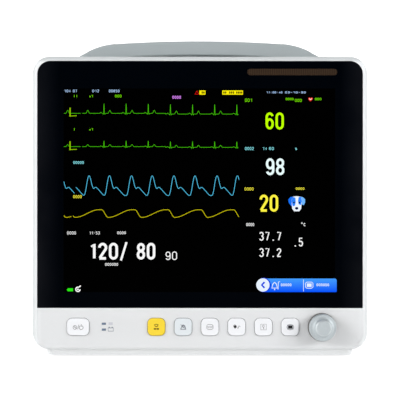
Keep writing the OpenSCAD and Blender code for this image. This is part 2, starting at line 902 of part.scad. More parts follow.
module mount_inserts() {
  color([0.75, 0.62, 0.30]) placed() for (s = [-1, 1], t = [-1, 1])
    translate([s * insert_x / 2, insert_mid + t * insert_y / 2, foot_h]) difference() {
      cylinder(r = insert_r, h = house_bottom - foot_h);
      translate([0, 0, -cut]) cylinder(r = insert_bore, h = house_bottom + cut);
    }
}

module base_screws() {
  color(steel) placed() for (s = [-1, 1], y = base_screw_y)
    translate([s * base_screw_x, y, base_seat - screw_head_t]) difference() {
      union() {
        cylinder(r = screw_head_r, h = screw_head_t);
        cylinder(r = screw_r, h = house_bottom + wall - base_seat + screw_head_t);
      }
      cross_recess();
    }
}

module housing_screws() {
  color(steel) placed() for (s = [-1, 1], z = boss_z) difference() {
    union() {
      rod(screw_r, plate_y + screw_floor + cut, head_y - recess_t, s * boss_x, z);
      rod(screw_head_r, head_y - screw_head_t, head_y, s * boss_x, z);
    }
    translate([s * boss_x, head_y, z]) rotate([90, 0, 0]) cross_recess();
  }
}

// Main board's left, right, lower and upper edges, measured in from the chassis screws
main_inset = [28, 100, 52, 34.5];
main_x0 = main_inset[0] - boss_x;
main_x1 = boss_x - main_inset[1];
main_z0 = boss_z[0] + main_inset[2];
main_z1 = boss_z[1] - main_inset[3];
standoff_r = 3;
standoff_in = 6;
shelf_gap = 1;
shelf_in = 15;
shelf_end = 2;
shelf_z = house_bottom + wall + shelf_gap;
shelf_x = boss_x - shelf_in;
chassis_back = bezel_depth + chassis_t;

module chassis() {
  side = 5;
  over = 6;
  corner = 8;
  z0 = shelf_z;
  z1 = boss_z[1] + over;
  color(steel) placed() {
    difference() {
      plate(2 * (boss_x + side), z1 - z0, corner, bezel_depth, chassis_back, 0, (z0 + z1) / 2);
      finger_well(wall + slip);
      for (s = [-1, 1], z = boss_z)
        rod(screw_r + screw_slip, bezel_depth - cut, chassis_back + cut, s * boss_x, z);
    }
    block(2 * shelf_x, chassis_t, bezel_depth, taper_start - shelf_end, 0, shelf_z + chassis_t / 2);
    for (x = [main_x0 + standoff_in, main_x1 - standoff_in],
        z = [main_z0 + standoff_in, main_z1 - standoff_in])
      rod(standoff_r, chassis_back, boards_y, x, z);
  }
}

main_front = boards_y + board_t;

module main_board() {
  chip = 22;
  chip_t = 2;
  plug = [60, 7, 8];
  plug_rise = 14;
  mid_x = (main_x0 + main_x1) / 2;
  color(board_green) placed() {
    block(main_x1 - main_x0, main_z1 - main_z0, boards_y, main_front, mid_x, (main_z0 + main_z1) / 2);
    for (x = [main_x0 + chip, main_x0 + 2.5 * chip, main_x1 - chip], z = [main_z1 - chip, main_z0 + 2 * chip])
      block(chip, chip, main_front, main_front + chip_t, x, z);
    block(plug[0], plug[2], main_front, main_front + plug[1], mid_x, main_z0 + plug_rise);
  }
}

module heat_sink() {
  w = 44;
  base_t = 3;
  fin_h = 10;
  fin_t = 1.6;
  fins = 7;
  pitch = (w - fin_t) / (fins - 1);
  side_in = 62;
  top_in = 57;
  x = main_x1 - side_in;
  z = main_z1 - top_in;
  color([0.55, 0.57, 0.60]) placed() {
    block(w, w, main_front, main_front + base_t, x, z);
    for (i = [0 : fins - 1])
      block(fin_t, w, main_front, main_front + base_t + fin_h, x + (i - (fins - 1) / 2) * pitch, z);
  }
}

module power_supply() {
  w = 104;
  front_in = 28;
  back_in = 3;
  y0 = bezel_depth + front_in;
  y1 = taper_start - back_in;
  y = (y0 + y1) / 2;
  leg = 4;
  leg_in = 5;
  can_r = 6.5;
  can_h = 20;
  can_x = [12, 28];
  coil = [30, 24, 22];
  coil_x = 40;
  fin = [3, 26, 20];
  fin_x = 80;
  floor_z = shelf_z + chassis_t;
  top = floor_z + leg + board_t;
  color([0.16, 0.30, 0.20]) placed() translate([main_x0, 0, 0]) {
    translate([0, y0, floor_z + leg]) cube([w, y1 - y0, board_t]);
    for (x = [leg_in, w - leg_in], py = [y0 + leg_in, y1 - leg_in])
      translate([x, py, floor_z]) cylinder(r = standoff_r, h = leg);
    translate([coil_x, y - coil[1] / 2, top]) cube(coil);
    for (x = can_x)
      translate([x, y, top]) cylinder(r = can_r, h = can_h);
    translate([fin_x, y - fin[1] / 2, top]) cube(fin);
  }
}

bay_mouth = pin_x - hinge_r - slip;
flange_t = 1.5;
flange_lap = 3;

module battery_bay() {
  flange_z0 = pin_z + lug_reach + fit;
  flange_z1 = door_z0 + door_h + slip + flange_lap;
  flange_d = door_d + 2 * (slip + flange_lap);
  color([0.25, 0.26, 0.28]) placed() difference() {
    union() {
      translate([bay_x0, battery_y - bay_d / 2 - bay_wall, battery_z - bay_h / 2 - bay_wall])
        cube([bay_mouth - bay_x0, bay_d + 2 * bay_wall, bay_h + 2 * bay_wall]);
      translate([bay_mouth - flange_t, battery_y - flange_d / 2, flange_z0])
        cube([bay_x1 - bay_mouth + flange_t, flange_d, flange_z1 - flange_z0]);
    }
    translate([bay_x0 + bay_wall, battery_y - bay_d / 2, battery_z - bay_h / 2])
      cube([bay_x1 - bay_x0, bay_d, bay_h]);
  }
}

module battery_pack() {
  color([0.20, 0.30, 0.45]) placed()
    translate([bay_x0 + bay_wall, battery_y - battery_d / 2, battery_z - bay_h / 2])
      cube([battery_l, battery_d, battery_h]);
}

module battery_door() {
  notch = 16;
  notch_h = 3;
  notch_t = 1.2;
  grooves = 4;
  groove_l = 24;
  groove_h = 1.2;
  groove_t = 0.6;
  groove_step = 3;
  color(case_white) placed() difference() {
    union() {
      translate([side_x - wall, battery_y - door_d / 2, pin_z])
        cube([wall, door_d, door_z0 + door_h - pin_z]);
      translate([pin_x, battery_y - door_d / 2, pin_z]) rotate([-90, 0, 0]) cylinder(r = hinge_r, h = door_d);
    }
    translate([pin_x, battery_y - door_d, pin_z]) rotate([-90, 0, 0])
      cylinder(r = pin_r + run, h = 2 * door_d);
    translate([side_x - notch_t, battery_y - notch / 2, door_z0 + door_h - notch_h])
      cube([notch_t + cut, notch, notch_h + cut]);
    for (i = [1 : grooves])
      translate([side_x - groove_t, battery_y - groove_l / 2, door_z0 + door_h - notch_h - i * groove_step])
        cube([groove_t + cut, groove_l, groove_h]);
  }
}

module door_pin() {
  l = door_d + 2 * (slip + lug_t);
  color(steel) placed() translate([pin_x, battery_y - l / 2, pin_z]) rotate([-90, 0, 0])
    cylinder(r = pin_r, h = l);
}

module parameter_board() {
  end_gap = 8;
  side_gap = 3;
  z0 = cuff_z + cuff_r + end_gap;
  z1 = panel_z + socket_panel_h / 2 - end_gap;
  d = panel_d - 2 * side_gap;
  color(board_green) placed() translate([parameter_x, panel_y - d / 2, z0]) cube([board_t, d, z1 - z0]);
}

module connector_panel() {
  d = panel_d + 2 * panel_lip;
  h = socket_panel_h + 2 * panel_lip;
  color([0.60, 0.63, 0.65]) placed() difference() {
    translate([panel_x, panel_y - d / 2, panel_z - h / 2]) cube([plate_t, d, h]);
    for (hole = concat([[ecg_r, ecg_z], [oxygen_r, oxygen_z], [cuff_r, cuff_z]],
        [for (z = temperature_z) [temperature_r, z]]))
      cross_rod(hole[0] - socket_lip + fit, panel_x - cut, panel_x + plate_t + cut, panel_y, hole[1]);
  }
}

// A round socket: collar outside the panel, body behind it, and a blind bore for the plug
module round_socket(r, z, bore, depth) {
  difference() {
    union() {
      cross_rod(r, panel_x - socket_rise, panel_x, panel_y, z);
      cross_rod(r - socket_lip, panel_x - socket_rise, parameter_x, panel_y, z);
    }
    cross_rod(bore, panel_x - socket_rise - cut, panel_x - socket_rise + depth, panel_y, z);
  }
}

module ecg_socket() {
  depth = 11;
  color([0.35, 0.55, 0.35]) placed() round_socket(ecg_r, ecg_z, ecg_r - socket_bore_in, depth);
}

module oxygen_socket() {
  depth = 11;
  color([0.25, 0.40, 0.60]) placed() round_socket(oxygen_r, oxygen_z, oxygen_r - socket_bore_in, depth);
}

module temperature_sockets() {
  depth = 14;
  color([0.45, 0.35, 0.30]) placed() for (z = temperature_z)
    round_socket(temperature_r, z, temperature_r - socket_bore_in, depth);
}

hose_r = 3.6;
barb_r = 2.4;
barb_l = 9;

module cuff_port() {
  depth = 12;
  bore_in = 3.5;
  color([0.78, 0.79, 0.81]) placed() {
    round_socket(cuff_r, cuff_z, cuff_r - bore_in, depth);
    cross_rod(barb_r, parameter_x - cut, parameter_x + barb_l, panel_y, cuff_z);
  }
}

pump_in = [78, 70.5];
pump_x0 = boss_x - pump_in[0];
pump_z = boss_z[1] - pump_in[1];
pump_l = 56;
pump_r = 14;

module air_pump() {
  bracket = [36, 20];
  color([0.30, 0.31, 0.33]) placed() {
    cross_rod(pump_r, pump_x0, pump_x0 + pump_l, panel_y, pump_z);
    block(bracket[0], bracket[1], chassis_back, panel_y, pump_x0 + pump_l / 2, pump_z);
    cross_rod(barb_r, pump_x0 - barb_l, pump_x0 + cut, panel_y, pump_z);
  }
}

module air_valve() {
  w = 18;
  h = 24;
  d = 22;
  gap = 3;
  coil_r = 5;
  coil_l = 6;
  x = pump_x0 + w / 2;
  z = pump_z + pump_r + gap + h / 2;
  color([0.22, 0.23, 0.26]) placed() {
    block(w, h, chassis_back, chassis_back + d, x, z);
    rod(coil_r, chassis_back + d, chassis_back + d + coil_l, x, z);
  }
}

hose_bend = 13;
hose_swell = 0.2;
hose_step = 44;
hose_x = pump_x0 - hose_step;

// A quarter bend of the air hose, a little thicker than the straight runs that end inside it
module hose_elbow(r, x, z, start) {
  translate([x, panel_y, z]) rotate([90, 0, 0]) rotate_extrude(angle = 90, start = start)
    translate([hose_bend, 0]) circle(r + hose_swell);
}

// Run of the air hose from the cuff port to the pump, along X, up and along X again
module hose_run(r, spare) {
  lap = 2;
  cross_rod(r, parameter_x + fit - spare, hose_x - hose_bend + lap, panel_y, cuff_z);
  hose_elbow(r, hose_x - hose_bend, cuff_z + hose_bend, 270);
  translate([hose_x, panel_y, cuff_z + hose_bend - lap])
    cylinder(r = r, h = pump_z - cuff_z - 2 * (hose_bend - lap));
  hose_elbow(r, hose_x + hose_bend, pump_z - hose_bend, 90);
  cross_rod(r, hose_x + hose_bend - lap, pump_x0 - fit + spare, panel_y, pump_z);
}

module air_tube() {
  color([0.85, 0.85, 0.82]) placed() difference() {
    hose_run(hose_r, 0);
    hose_run(barb_r, cut);
  }
}

module speaker() {
  back = case_depth - wall;
  basket_t = 4;
  magnet_t = 9;
  color(black_plastic) placed() {
    rod(speaker_r, back - basket_t, back, speaker_x, speaker_z);
    rod(speaker_r * 0.6, back - basket_t - magnet_t, back - basket_t, speaker_x, speaker_z);
  }
}

sheet_y = socket_y - wall;
sheet_in = [2, 1];
inlet_w = 27;
inlet_h = 20;
jack_w = 16;
jack_h = 14;
stud_r = 3;

// Steel sheet behind the socket pocket that carries the mains and network sockets
module socket_plate() {
  color(steel) placed() difference() {
    block(socket_w - 2 * sheet_in[0], socket_h - 2 * sheet_in[1], sheet_y - plate_t, sheet_y, socket_x,
      socket_z);
    block(inlet_w + 2 * fit, inlet_h + 2 * fit, sheet_y - plate_t - cut, sheet_y + cut, inlet_x, socket_z);
    block(jack_w + 2 * fit, jack_h + 2 * fit, sheet_y - plate_t - cut, sheet_y + cut, network_x, socket_z);
    rod(stud_r, sheet_y - plate_t - cut, sheet_y + cut, earth_x, socket_z);
  }
}

// Three-blade appliance inlet
module mains_inlet() {
  mouth_w = 24.5;
  mouth_h = 17;
  mouth_depth = 17;
  body_l = 22;
  rim_t = 2.4;
  rim_in = [5, 2];
  blade = [2, 12, 4];
  blades = [[-7, -2], [7, -2], [0, 2]];
  front = sheet_y + rim_t;
  color(black_plastic) placed() {
    difference() {
      union() {
        block(inlet_w, inlet_h, sheet_y - body_l, sheet_y, inlet_x, socket_z);
        block(inlet_w + 2 * rim_in[0], inlet_h + 2 * rim_in[1], sheet_y, front, inlet_x, socket_z);
      }
      block(mouth_w, mouth_h, front - mouth_depth, front + cut, inlet_x, socket_z);
    }
    for (pin = blades)
      block(blade[0], blade[2], front - mouth_depth, front - mouth_depth + blade[1], inlet_x + pin[0],
        socket_z + pin[1]);
  }
}

module network_socket() {
  mouth_w = 11.8;
  mouth_h = 8.2;
  mouth_depth = 12;
  body_l = 13;
  lip = 2;
  front = sheet_y + lip;
  color(steel) placed() difference() {
    union() {
      block(jack_w, jack_h, sheet_y - body_l, sheet_y, network_x, socket_z);
      block(jack_w + 2 * lip, jack_h + 2 * lip, sheet_y, front, network_x, socket_z);
    }
    block(mouth_w, mouth_h, front - mouth_depth, front + cut, network_x, socket_z);
  }
}

module earth_stud() {
  stud_l = 14;
  nut_r = 6;
  nut_t = 3;
  color([0.78, 0.68, 0.40]) placed() {
    rod(stud_r, sheet_y - plate_t, sheet_y + stud_l, earth_x, socket_z);
    translate([earth_x, sheet_y, socket_z]) rotate([-90, 0, 0]) cylinder(r = nut_r, h = nut_t, $fn = 6);
  }
}

front_bezel();
screen_glass();
display_panel();
panel_brackets();
alarm_lens();
alarm_light_board();
key_board();
key_switches();
indicator_pipes();
encoder_body();
encoder_plunger();
encoder_shaft();
knob();
power_key();
silence_key();
reset_key();
freeze_key();
cuff_key();
lead_key();
menu_key();
rear_housing();
carry_handle();
handle_screws();
base_foot();
rubber_feet();
mount_inserts();
base_screws();
housing_screws();
chassis();
main_board();
heat_sink();
power_supply();
battery_bay();
battery_pack();
battery_door();
door_pin();
parameter_board();
connector_panel();
ecg_socket();
oxygen_socket();
temperature_sockets();
cuff_port();
air_pump();
air_valve();
air_tube();
speaker();
socket_plate();
mains_inlet();
network_socket();
earth_stud();
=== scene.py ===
import math

import bpy
from mathutils import Matrix, Vector


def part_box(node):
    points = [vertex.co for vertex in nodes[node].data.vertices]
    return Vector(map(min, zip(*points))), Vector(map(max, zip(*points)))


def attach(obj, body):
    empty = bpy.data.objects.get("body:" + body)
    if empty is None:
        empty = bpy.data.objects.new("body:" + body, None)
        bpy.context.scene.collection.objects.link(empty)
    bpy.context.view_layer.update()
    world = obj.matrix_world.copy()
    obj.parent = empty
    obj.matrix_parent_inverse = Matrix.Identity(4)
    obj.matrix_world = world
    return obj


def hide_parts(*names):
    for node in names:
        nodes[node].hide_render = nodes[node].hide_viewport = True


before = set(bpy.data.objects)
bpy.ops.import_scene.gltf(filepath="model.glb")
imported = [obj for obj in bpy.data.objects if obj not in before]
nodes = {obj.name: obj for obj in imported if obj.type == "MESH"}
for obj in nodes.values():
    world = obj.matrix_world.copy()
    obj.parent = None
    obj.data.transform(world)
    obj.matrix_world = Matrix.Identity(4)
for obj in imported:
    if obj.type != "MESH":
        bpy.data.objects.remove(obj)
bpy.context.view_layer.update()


# The viewpoint: a long lens level with the lower half of the screen and a little left of its middle.
# The picture is shifted up and to the right, so that the whole monitor stays in the frame.
frame_pixels = 400
metres_per_pixel = 0.0009042
lens_pixel = (171, 226)
middle_pixel = (200, 200)
bezel_top_pixel = 56.2
lens_distance = 1.1
lens_roll = math.radians(0.03)
bezel_low, bezel_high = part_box("front_bezel")
sensor_width = 36
camera = bpy.data.objects.new("camera", bpy.data.cameras.new("camera"))
camera.data.sensor_width = sensor_width
camera.data.lens = sensor_width * lens_distance / (frame_pixels * metres_per_pixel)
camera.data.shift_x = (middle_pixel[0] - lens_pixel[0]) / frame_pixels
camera.data.shift_y = (lens_pixel[1] - middle_pixel[1]) / frame_pixels
camera.data.clip_start = 0.05
camera.matrix_world = (
    Matrix.Translation((
        (lens_pixel[0] - middle_pixel[0]) * metres_per_pixel,
        bezel_low.y - lens_distance,
        bezel_high.z - (lens_pixel[1] - bezel_top_pixel) * metres_per_pixel,
    ))
    @ Matrix.Rotation(math.radians(90), 4, "X")
    @ Matrix.Rotation(lens_roll, 4, "Z")
)
bpy.context.scene.collection.objects.link(camera)
bpy.context.scene.camera = camera


# Front bezel, rear housing and battery door: one family of white flame-retardant plastic mouldings.
# Their tools are spark-eroded, which leaves a fine even grain that softens every highlight.
# The bezel screws to the housing from behind; the door turns on its own pin.
def feed(tree, sockets, values):
    """Gives each named socket its value: another node's output, or a plain one."""
    for key, value in values.items():
        if isinstance(value, bpy.types.NodeSocket):
            tree.links.new(value, sockets[key])
        else:
            sockets[key].default_value = value


def place(tree, kind, inputs=None, **settings):
    made = tree.nodes.new(kind)
    for key, value in settings.items():
        setattr(made, key, value)
    feed(tree, made.inputs, inputs or {})
    return made


def here(tree):
    """Where each point lies, in the part's own metres."""
    return place(tree, "ShaderNodeTexCoord").outputs["Object"]


def reckon(tree, how, *terms):
    return place(tree, "ShaderNodeMath", dict(enumerate(terms)), operation=how).outputs[0]


def noise(tree, where, scale, detail=2.0, roughness=0.5):
    return place(tree, "ShaderNodeTexNoise", {
        "Vector": where, "Scale": scale, "Detail": detail, "Roughness": roughness}).outputs[0]


def scaled(tree, colour, by):
    return place(tree, "ShaderNodeVectorMath", {0: colour, "Scale": by}, operation="SCALE").outputs[0]


def start_group(name, inputs, outputs):
    tree = bpy.data.node_groups.new(name, "ShaderNodeTree")
    for kind, label, value in inputs:
        socket = tree.interface.new_socket(label, in_out="INPUT", socket_type="NodeSocket" + kind)
        socket.default_value = value
    for kind, label in outputs:
        tree.interface.new_socket(label, in_out="OUTPUT", socket_type="NodeSocket" + kind)
    return tree, tree.nodes.new("NodeGroupInput").outputs, tree.nodes.new("NodeGroupOutput").inputs


def use_group(tree, group, **values):
    named = {key.replace("_", " "): value for key, value in values.items()}
    return place(tree, "ShaderNodeGroup", named, node_tree=group).outputs


# The grain group: even spark-eroded pimples, with a slow drift of tone where the melt flowed.
moulded_grain, given, result = start_group(
    "moulded_grain",
    [("Color", "Colour", (0.8, 0.8, 0.8, 1)), ("Float", "Grains per metre", 1600.0),
     ("Float", "Drift", 0.04), ("Float", "Gloss break", 0.1), ("Float", "Dullness", 0.5)],
    [("Color", "Colour"), ("Float", "Roughness"), ("Float", "Height")])
where = here(moulded_grain)
pimples = noise(moulded_grain, where, given["Grains per metre"], roughness=0.6)
flow = noise(moulded_grain, where, scale=14.0, detail=3.0)
swing = reckon(moulded_grain, "ADD", reckon(moulded_grain, "ADD", pimples, flow), -1.0)
shade = reckon(moulded_grain, "MULTIPLY_ADD", swing, given["Drift"], 1.0)
feed(moulded_grain, result, {
    "Colour": scaled(moulded_grain, given["Colour"], shade),
    "Roughness": reckon(moulded_grain, "MULTIPLY_ADD", swing, given["Gloss break"], given["Dullness"]),
    "Height": pimples,
})


def start_material(name):
    made = bpy.data.materials.new(name)
    made.use_nodes = True
    tree = made.node_tree
    return made, tree, tree.nodes["Principled BSDF"].inputs


def wear_plastic(tree, shader, colour, dullness=0.5, grains=1600.0, drift=0.04, depth=0.00002,
                 shine=0.4):
    grain = use_group(
        tree, moulded_grain, Colour=colour, Grains_per_metre=grains, Drift=drift, Dullness=dullness)
    bump = place(tree, "ShaderNodeBump", {
        "Height": grain["Height"], "Distance": depth, "Strength": 0.6}).outputs[0]
    feed(tree, shader, {"Base Color": grain["Colour"], "Roughness": grain["Roughness"],
                        "Normal": bump, "Specular IOR Level": shine})


def moulded_plastic(name, colour, **wear):
    made, tree, shader = start_material(name)
    wear_plastic(tree, shader, colour, **wear)
    return made


def dress(material, *names):
    for name in names:
        for slot in nodes[name].material_slots:
            slot.material = material


def tint(red, green, blue):
    """A colour in steps from 0 to 255, as linear light."""
    def linear(level):
        level /= 255
        return level / 12.92 if level <= 0.04045 else ((level + 0.055) / 1.055) ** 2.4

    return (linear(red), linear(green), linear(blue), 1)


case_white = moulded_plastic("case_white", tint(216, 218, 220))
dress(case_white, "rear_housing", "battery_door")


def axes(tree, where):
    return place(tree, "ShaderNodeSeparateXYZ", {0: where}).outputs


def share_of(tree, value, low, high, start=0.0, end=1.0):
    """How far a value has come from low to high, told as start to end."""
    return place(tree, "ShaderNodeMapRange", {
        "Value": value, "From Min": low, "From Max": high, "To Min": start, "To Max": end,
    }).outputs[0]


def blend(tree, share, under, over):
    return place(tree, "ShaderNodeMix", {0: share, 6: under, 7: over}, data_type="RGBA").outputs[2]


def two_tone(tree, share, first, last):
    ramp = place(tree, "ShaderNodeValToRGB", {"Fac": share})
    ramp.color_ramp.elements[0].color = first
    ramp.color_ramp.elements[1].color = last
    return ramp.outputs[0]


# The bezel's lower band, with the flat control strip, was sprayed a shade greyer than its rim.
# The crown and the flanks of the rim are darkened with painted shade, and the sill at the bottom is
# lifted with painted light.
strip_sink = 0.0003
strip_top = 0.0428
strip_reach = (0.143, 0.148)
crown_deep = (0.0035, 0.0055)
flank_deep = (0.0004, 0.0032)
sill_deep = (0.0015, 0.004)
bezel_white, tree, shader = start_material("bezel_white")
across = axes(tree, here(tree))
from_middle = reckon(tree, "ABSOLUTE", across["X"])
low_down = reckon(tree, "LESS_THAN", across["Z"], strip_top)
sprayed = share_of(tree, from_middle, *strip_reach, start=1.0, end=0.0)
on_strip = reckon(tree, "MULTIPLY", sprayed, low_down)
paint = two_tone(tree, on_strip, tint(240, 242, 243), tint(230, 231, 232))
# Painted shade: the crown's front rounding and the outer flanks are darkened, where little lamp light
# falls.
crown = share_of(tree, across["Z"], bezel_high.z - crown_deep[1], bezel_high.z - crown_deep[0])
forward = share_of(tree, across["Y"], bezel_low.y + crown_deep[0], bezel_low.y + crown_deep[1],
                   start=1.0, end=0.0)
flank = share_of(tree, from_middle, bezel_high.x - flank_deep[1], bezel_high.x - flank_deep[0])
painted_rim_shade = reckon(tree, "MAXIMUM", reckon(tree, "MULTIPLY", crown, forward), flank)
paint = blend(tree, painted_rim_shade, paint, tint(211, 215, 216))
# Painted light: the sill along the bottom edge is lifted paler, against the shade between bezel and
# base.
painted_sill_light = share_of(tree, across["Z"], bezel_low.z + sill_deep[0], bezel_low.z + sill_deep[1],
                start=1.0, end=0.0)
paint = blend(tree, painted_sill_light, paint, tint(244, 245, 246))
wear_plastic(tree, shader, paint)
dress(bezel_white, "front_bezel")


# Cover glass: 2 mm sheet with a matt black print behind it and a coating against reflections.
# It is bonded into the bezel's shelf; towards the sheet's side edges the black is lifted by a painted
# reflection, broken up by a faint haze.
glass_low, glass_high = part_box("screen_glass")
glass_reach = (glass_high.x - glass_low.x) / 2
reflection_band = 0.02
cover_glass, tree, shader = start_material("cover_glass")
where = here(tree)
from_side = reckon(tree, "ABSOLUTE", axes(tree, where)["X"])
# Painted reflection: the black turns greyer towards the sheet's side edges.
edge_light = share_of(tree, from_side, glass_reach - reflection_band, glass_reach)
haze = noise(tree, where, scale=30.0, detail=4.0)
painted_edge_reflection = reckon(tree, "MULTIPLY", edge_light, haze)
feed(tree, shader, {
    "Base Color": two_tone(tree, painted_edge_reflection, tint(0, 2, 6), tint(24, 25, 29)),
    "Roughness": share_of(tree, haze, 0.0, 1.0, start=0.06, end=0.12),
    "Specular IOR Level": 0.01,
})
dress(cover_glass, "screen_glass")


# The lit picture: 800 by 600 dots of a 12.1-inch liquid-crystal panel, seen through the glass.
# Every mark is laid out in the panel's own dots, and each colour is one thin sheet of light.
panel_dots = (800, 600)
dot = 0.0003069
lit_middle = Vector((-0.00064, 0, 0.1513))
lit_face = glass_low.y
layer = 0.00004

# The dot group: brightness falls off in the dark gaps between the panel's dots.
screen_dots, given, result = start_group(
    "screen_dots", [("Color", "Light", (1, 1, 1, 1)), ("Float", "Dot gap", 0.12)], [("Color", "Light")])
across = axes(screen_dots, here(screen_dots))
waves = [reckon(screen_dots, "COSINE", reckon(screen_dots, "MULTIPLY", across[axis], 2 * math.pi / dot))
         for axis in ("X", "Z")]
dip = reckon(screen_dots, "MULTIPLY", *waves)
level = reckon(screen_dots, "MULTIPLY_ADD", dip, given["Dot gap"], 1.0)
feed(screen_dots, result, {"Light": scaled(screen_dots, given["Light"], level)})


def light_up(tree, shader, colour, shine=0.004):
    glow = use_group(tree, screen_dots, Light=colour)
    feed(tree, shader, {"Emission Color": glow["Light"], "Emission Strength": 1,
                        "Base Color": (0, 0, 0, 1), "Roughness": 0.1, "Specular IOR Level": shine})


def lit_colour(name, colour):
    made, tree, shader = start_material(name)
    light_up(tree, shader, colour)
    return made


def mesh_piece(name, points, faces, material):
    mesh = bpy.data.meshes.new(name)
    mesh.from_pydata(points, [], faces)
    mesh.materials.append(material)
    made = bpy.data.objects.new(name, mesh)
    bpy.context.scene.collection.objects.link(made)
    return made


class Drawing:
    """Flat marks on an upright plane, gathered into one mesh; spot() turns their units into metres."""

    def __init__(self, name, material, spot):
        self.name, self.material, self.spot = name, material, spot
        self.points, self.faces = [], []

    def patch(self, outline):
        first = len(self.points)
        self.points += [self.spot(x, y) for x, y in outline]
        self.faces.append(list(range(first, len(self.points))))

    def disc(self, x, y, radius, tall=1.0, sides=28):
        turns = [2 * math.pi * i / sides for i in range(sides)]
        self.patch([(x + radius * math.cos(t), y + tall * radius * math.sin(t)) for t in turns])

    def box(self, x0, y0, x1, y1):
        self.patch([(x0, y0), (x1, y0), (x1, y1), (x0, y1)])

    def line(self, path, width, closed=False):
        """A band of even width along a path."""
        count = len(path)
        first = len(self.points)
        for i, (x, y) in enumerate(path):
            before = path[(i - 1) % count] if closed or i else path[i]
            after = path[(i + 1) % count] if closed or i < count - 1 else path[i]
            along = Vector((after[0] - before[0], after[1] - before[1])).normalized() * width / 2
            self.points += [self.spot(x - along.y, y + along.x), self.spot(x + along.y, y - along.x)]
        for i in range(count if closed else count - 1):
            a, b = first + 2 * i, first + 2 * ((i + 1) % count)
            self.faces.append([a, a + 1, b + 1, b])

    def ring(self, x, y, radius, width, tall=1.0, start=0, turn=360, sides=28):
        turns = [math.radians(start + turn * i / sides) for i in range(sides + (turn < 360))]
        self.line([(x + radius * math.cos(t), y - tall * radius * math.sin(t)) for t in turns],
                  width, closed=turn >= 360)

    def made(self, body):
        drawn = mesh_piece(self.name, self.points, self.faces, self.material)
        for face in drawn.data.polygons:
            if face.normal.y > 0:
                face.flip()
        drawn.data.update()
        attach(drawn, body)
        return drawn


def lit_spot(depth):
    def spot(x, y):
        return (lit_middle.x + (x - panel_dots[0] / 2) * dot, lit_face - depth * layer,
                lit_middle.z + (panel_dots[1] / 2 - y) * dot)

    return spot


def arc(x, y, radius, start, turn, tall=1.0, steps=14):
    turns = [math.radians(start + turn * i / steps) for i in range(steps + 1)]
    return [(x + radius * math.cos(t), y + tall * radius * math.sin(t)) for t in turns]


# Strokes of the figures, in a box 1 wide and 2 high, drawn along the middle of the stroke.
strokes = {
    "0": [arc(0.5, 1.5, 0.5, 0, 180) + arc(0.5, 0.5, 0.5, 180, 180) + [(1, 1.5)]],
    "1": [[(0.1, 1.6), (0.85, 2), (0.85, 0)]],
    "2": [arc(0.5, 1.5, 0.5, 180, -205) + [(0.05, 0.05)], [(0, 0), (1, 0)]],
    "3": [arc(0.5, 1.52, 0.48, 160, -250), arc(0.5, 0.52, 0.52, 90, -250)],
    "4": [[(0.75, 0), (0.75, 2), (0, 0.6), (1, 0.6)]],
    "5": [[(0.95, 2), (0.1, 2), (0.06, 1.1)] + arc(0.5, 0.6, 0.52, 125, -280, 1.15)],
    "6": [arc(0.5, 1.5, 0.5, 20, 160) + [(0, 0.6)], arc(0.5, 0.62, 0.5, 0, 360, 1.22)],
    "7": [[(0, 2), (1, 2), (0.4, 0)]],
    "8": [arc(0.5, 1.52, 0.46, 0, 360), arc(0.5, 0.5, 0.5, 0, 360)],
    "9": [arc(0.5, 0.5, 0.5, 200, 160) + [(1, 1.4)], arc(0.5, 1.38, 0.5, 0, 360, 1.22)],
    "/": [[(0.05, -0.2), (0.95, 2.2)]],
    "-": [[(0.1, 1), (0.9, 1)]],
    ":": [[(0.5, 0.45), (0.5, 0.65)], [(0.5, 1.35), (0.5, 1.55)]],
    ".": [],
    "x": [[(0.1, 0), (0.9, 1.2)], [(0.1, 1.2), (0.9, 0)]],
    "%": [[(0.1, 0), (0.9, 2)], arc(0.2, 1.7, 0.2, 0, 360), arc(0.8, 0.3, 0.2, 0, 360)],
    "I": [[(0.5, 0), (0.5, 2)]],
    "C": [arc(0.5, 1.5, 0.5, 30, 150) + arc(0.5, 0.5, 0.5, 180, 150)],
    "o": [arc(0.5, 1.7, 0.3, 0, 360)],
}

# Light bleeds a little over the edge of every lit stroke, so strokes are drawn that much narrower.
bleed = 0.9
small_weight = 2.2
point_at, point_size = 0.4, 0.6


def figures(drawing, text, x0, y0, x1, y1, weight=small_weight, space=0.22):
    """Figures that fill a box, given by its upper left and lower right corners in dots."""
    x0, y0, x1, y1 = x0 + bleed / 2, y0 + bleed / 2, x1 - bleed / 2, y1 - bleed / 2
    weight -= bleed
    tall = y1 - y0 - weight
    step = (x1 - x0) / (len(text) - space * (len(text) > 1))
    wide = step * (1 - space) - weight
    foot = y1 - weight / 2
    for i, sign in enumerate(text):
        if sign == ".":
            drawing.disc(x0 + (i + point_at) * step, foot, weight * point_size)
        for path in strokes[sign]:
            drawing.line([(x0 + i * step + weight / 2 + x * wide, foot - y * tall / 2) for x, y in path],
                         weight)


def lit_drawing(name, colour, depth=2):
    return Drawing(name, lit_colour(name, tint(*colour)), lit_spot(depth))


def written(name, colour, rows, depth=2):
    """A sheet of figures; each row holds text, box and, if it differs, stroke weight and spacing."""
    sheet = lit_drawing(name, colour, depth)
    for row in rows:
        figures(sheet, *row)
    return sheet


def hung(drawing):
    drawing.made("monitor")


# The panel's dark field, and rows of small plain numbers along its top edge.
dark_field = lit_drawing("screen_dark_field", (0, 0, 0), 1)
dark_field.box(0, 0, *panel_dots)
hung(dark_field)
hung(written("screen_pale_marks", (176, 208, 250), (
    ("104", 1, 3, 21, 12), ("07", 27, 3, 40, 12), ("012", 84, 3, 105, 12), ("00850", 133, 3, 165, 12),
    ("11:00:40", 597, 8, 645, 15), ("03-10-20", 652, 8, 714, 15))))
hung(written("screen_violet_marks", (222, 136, 250), (("0000", 320, 21, 346, 31, 2.5),)))

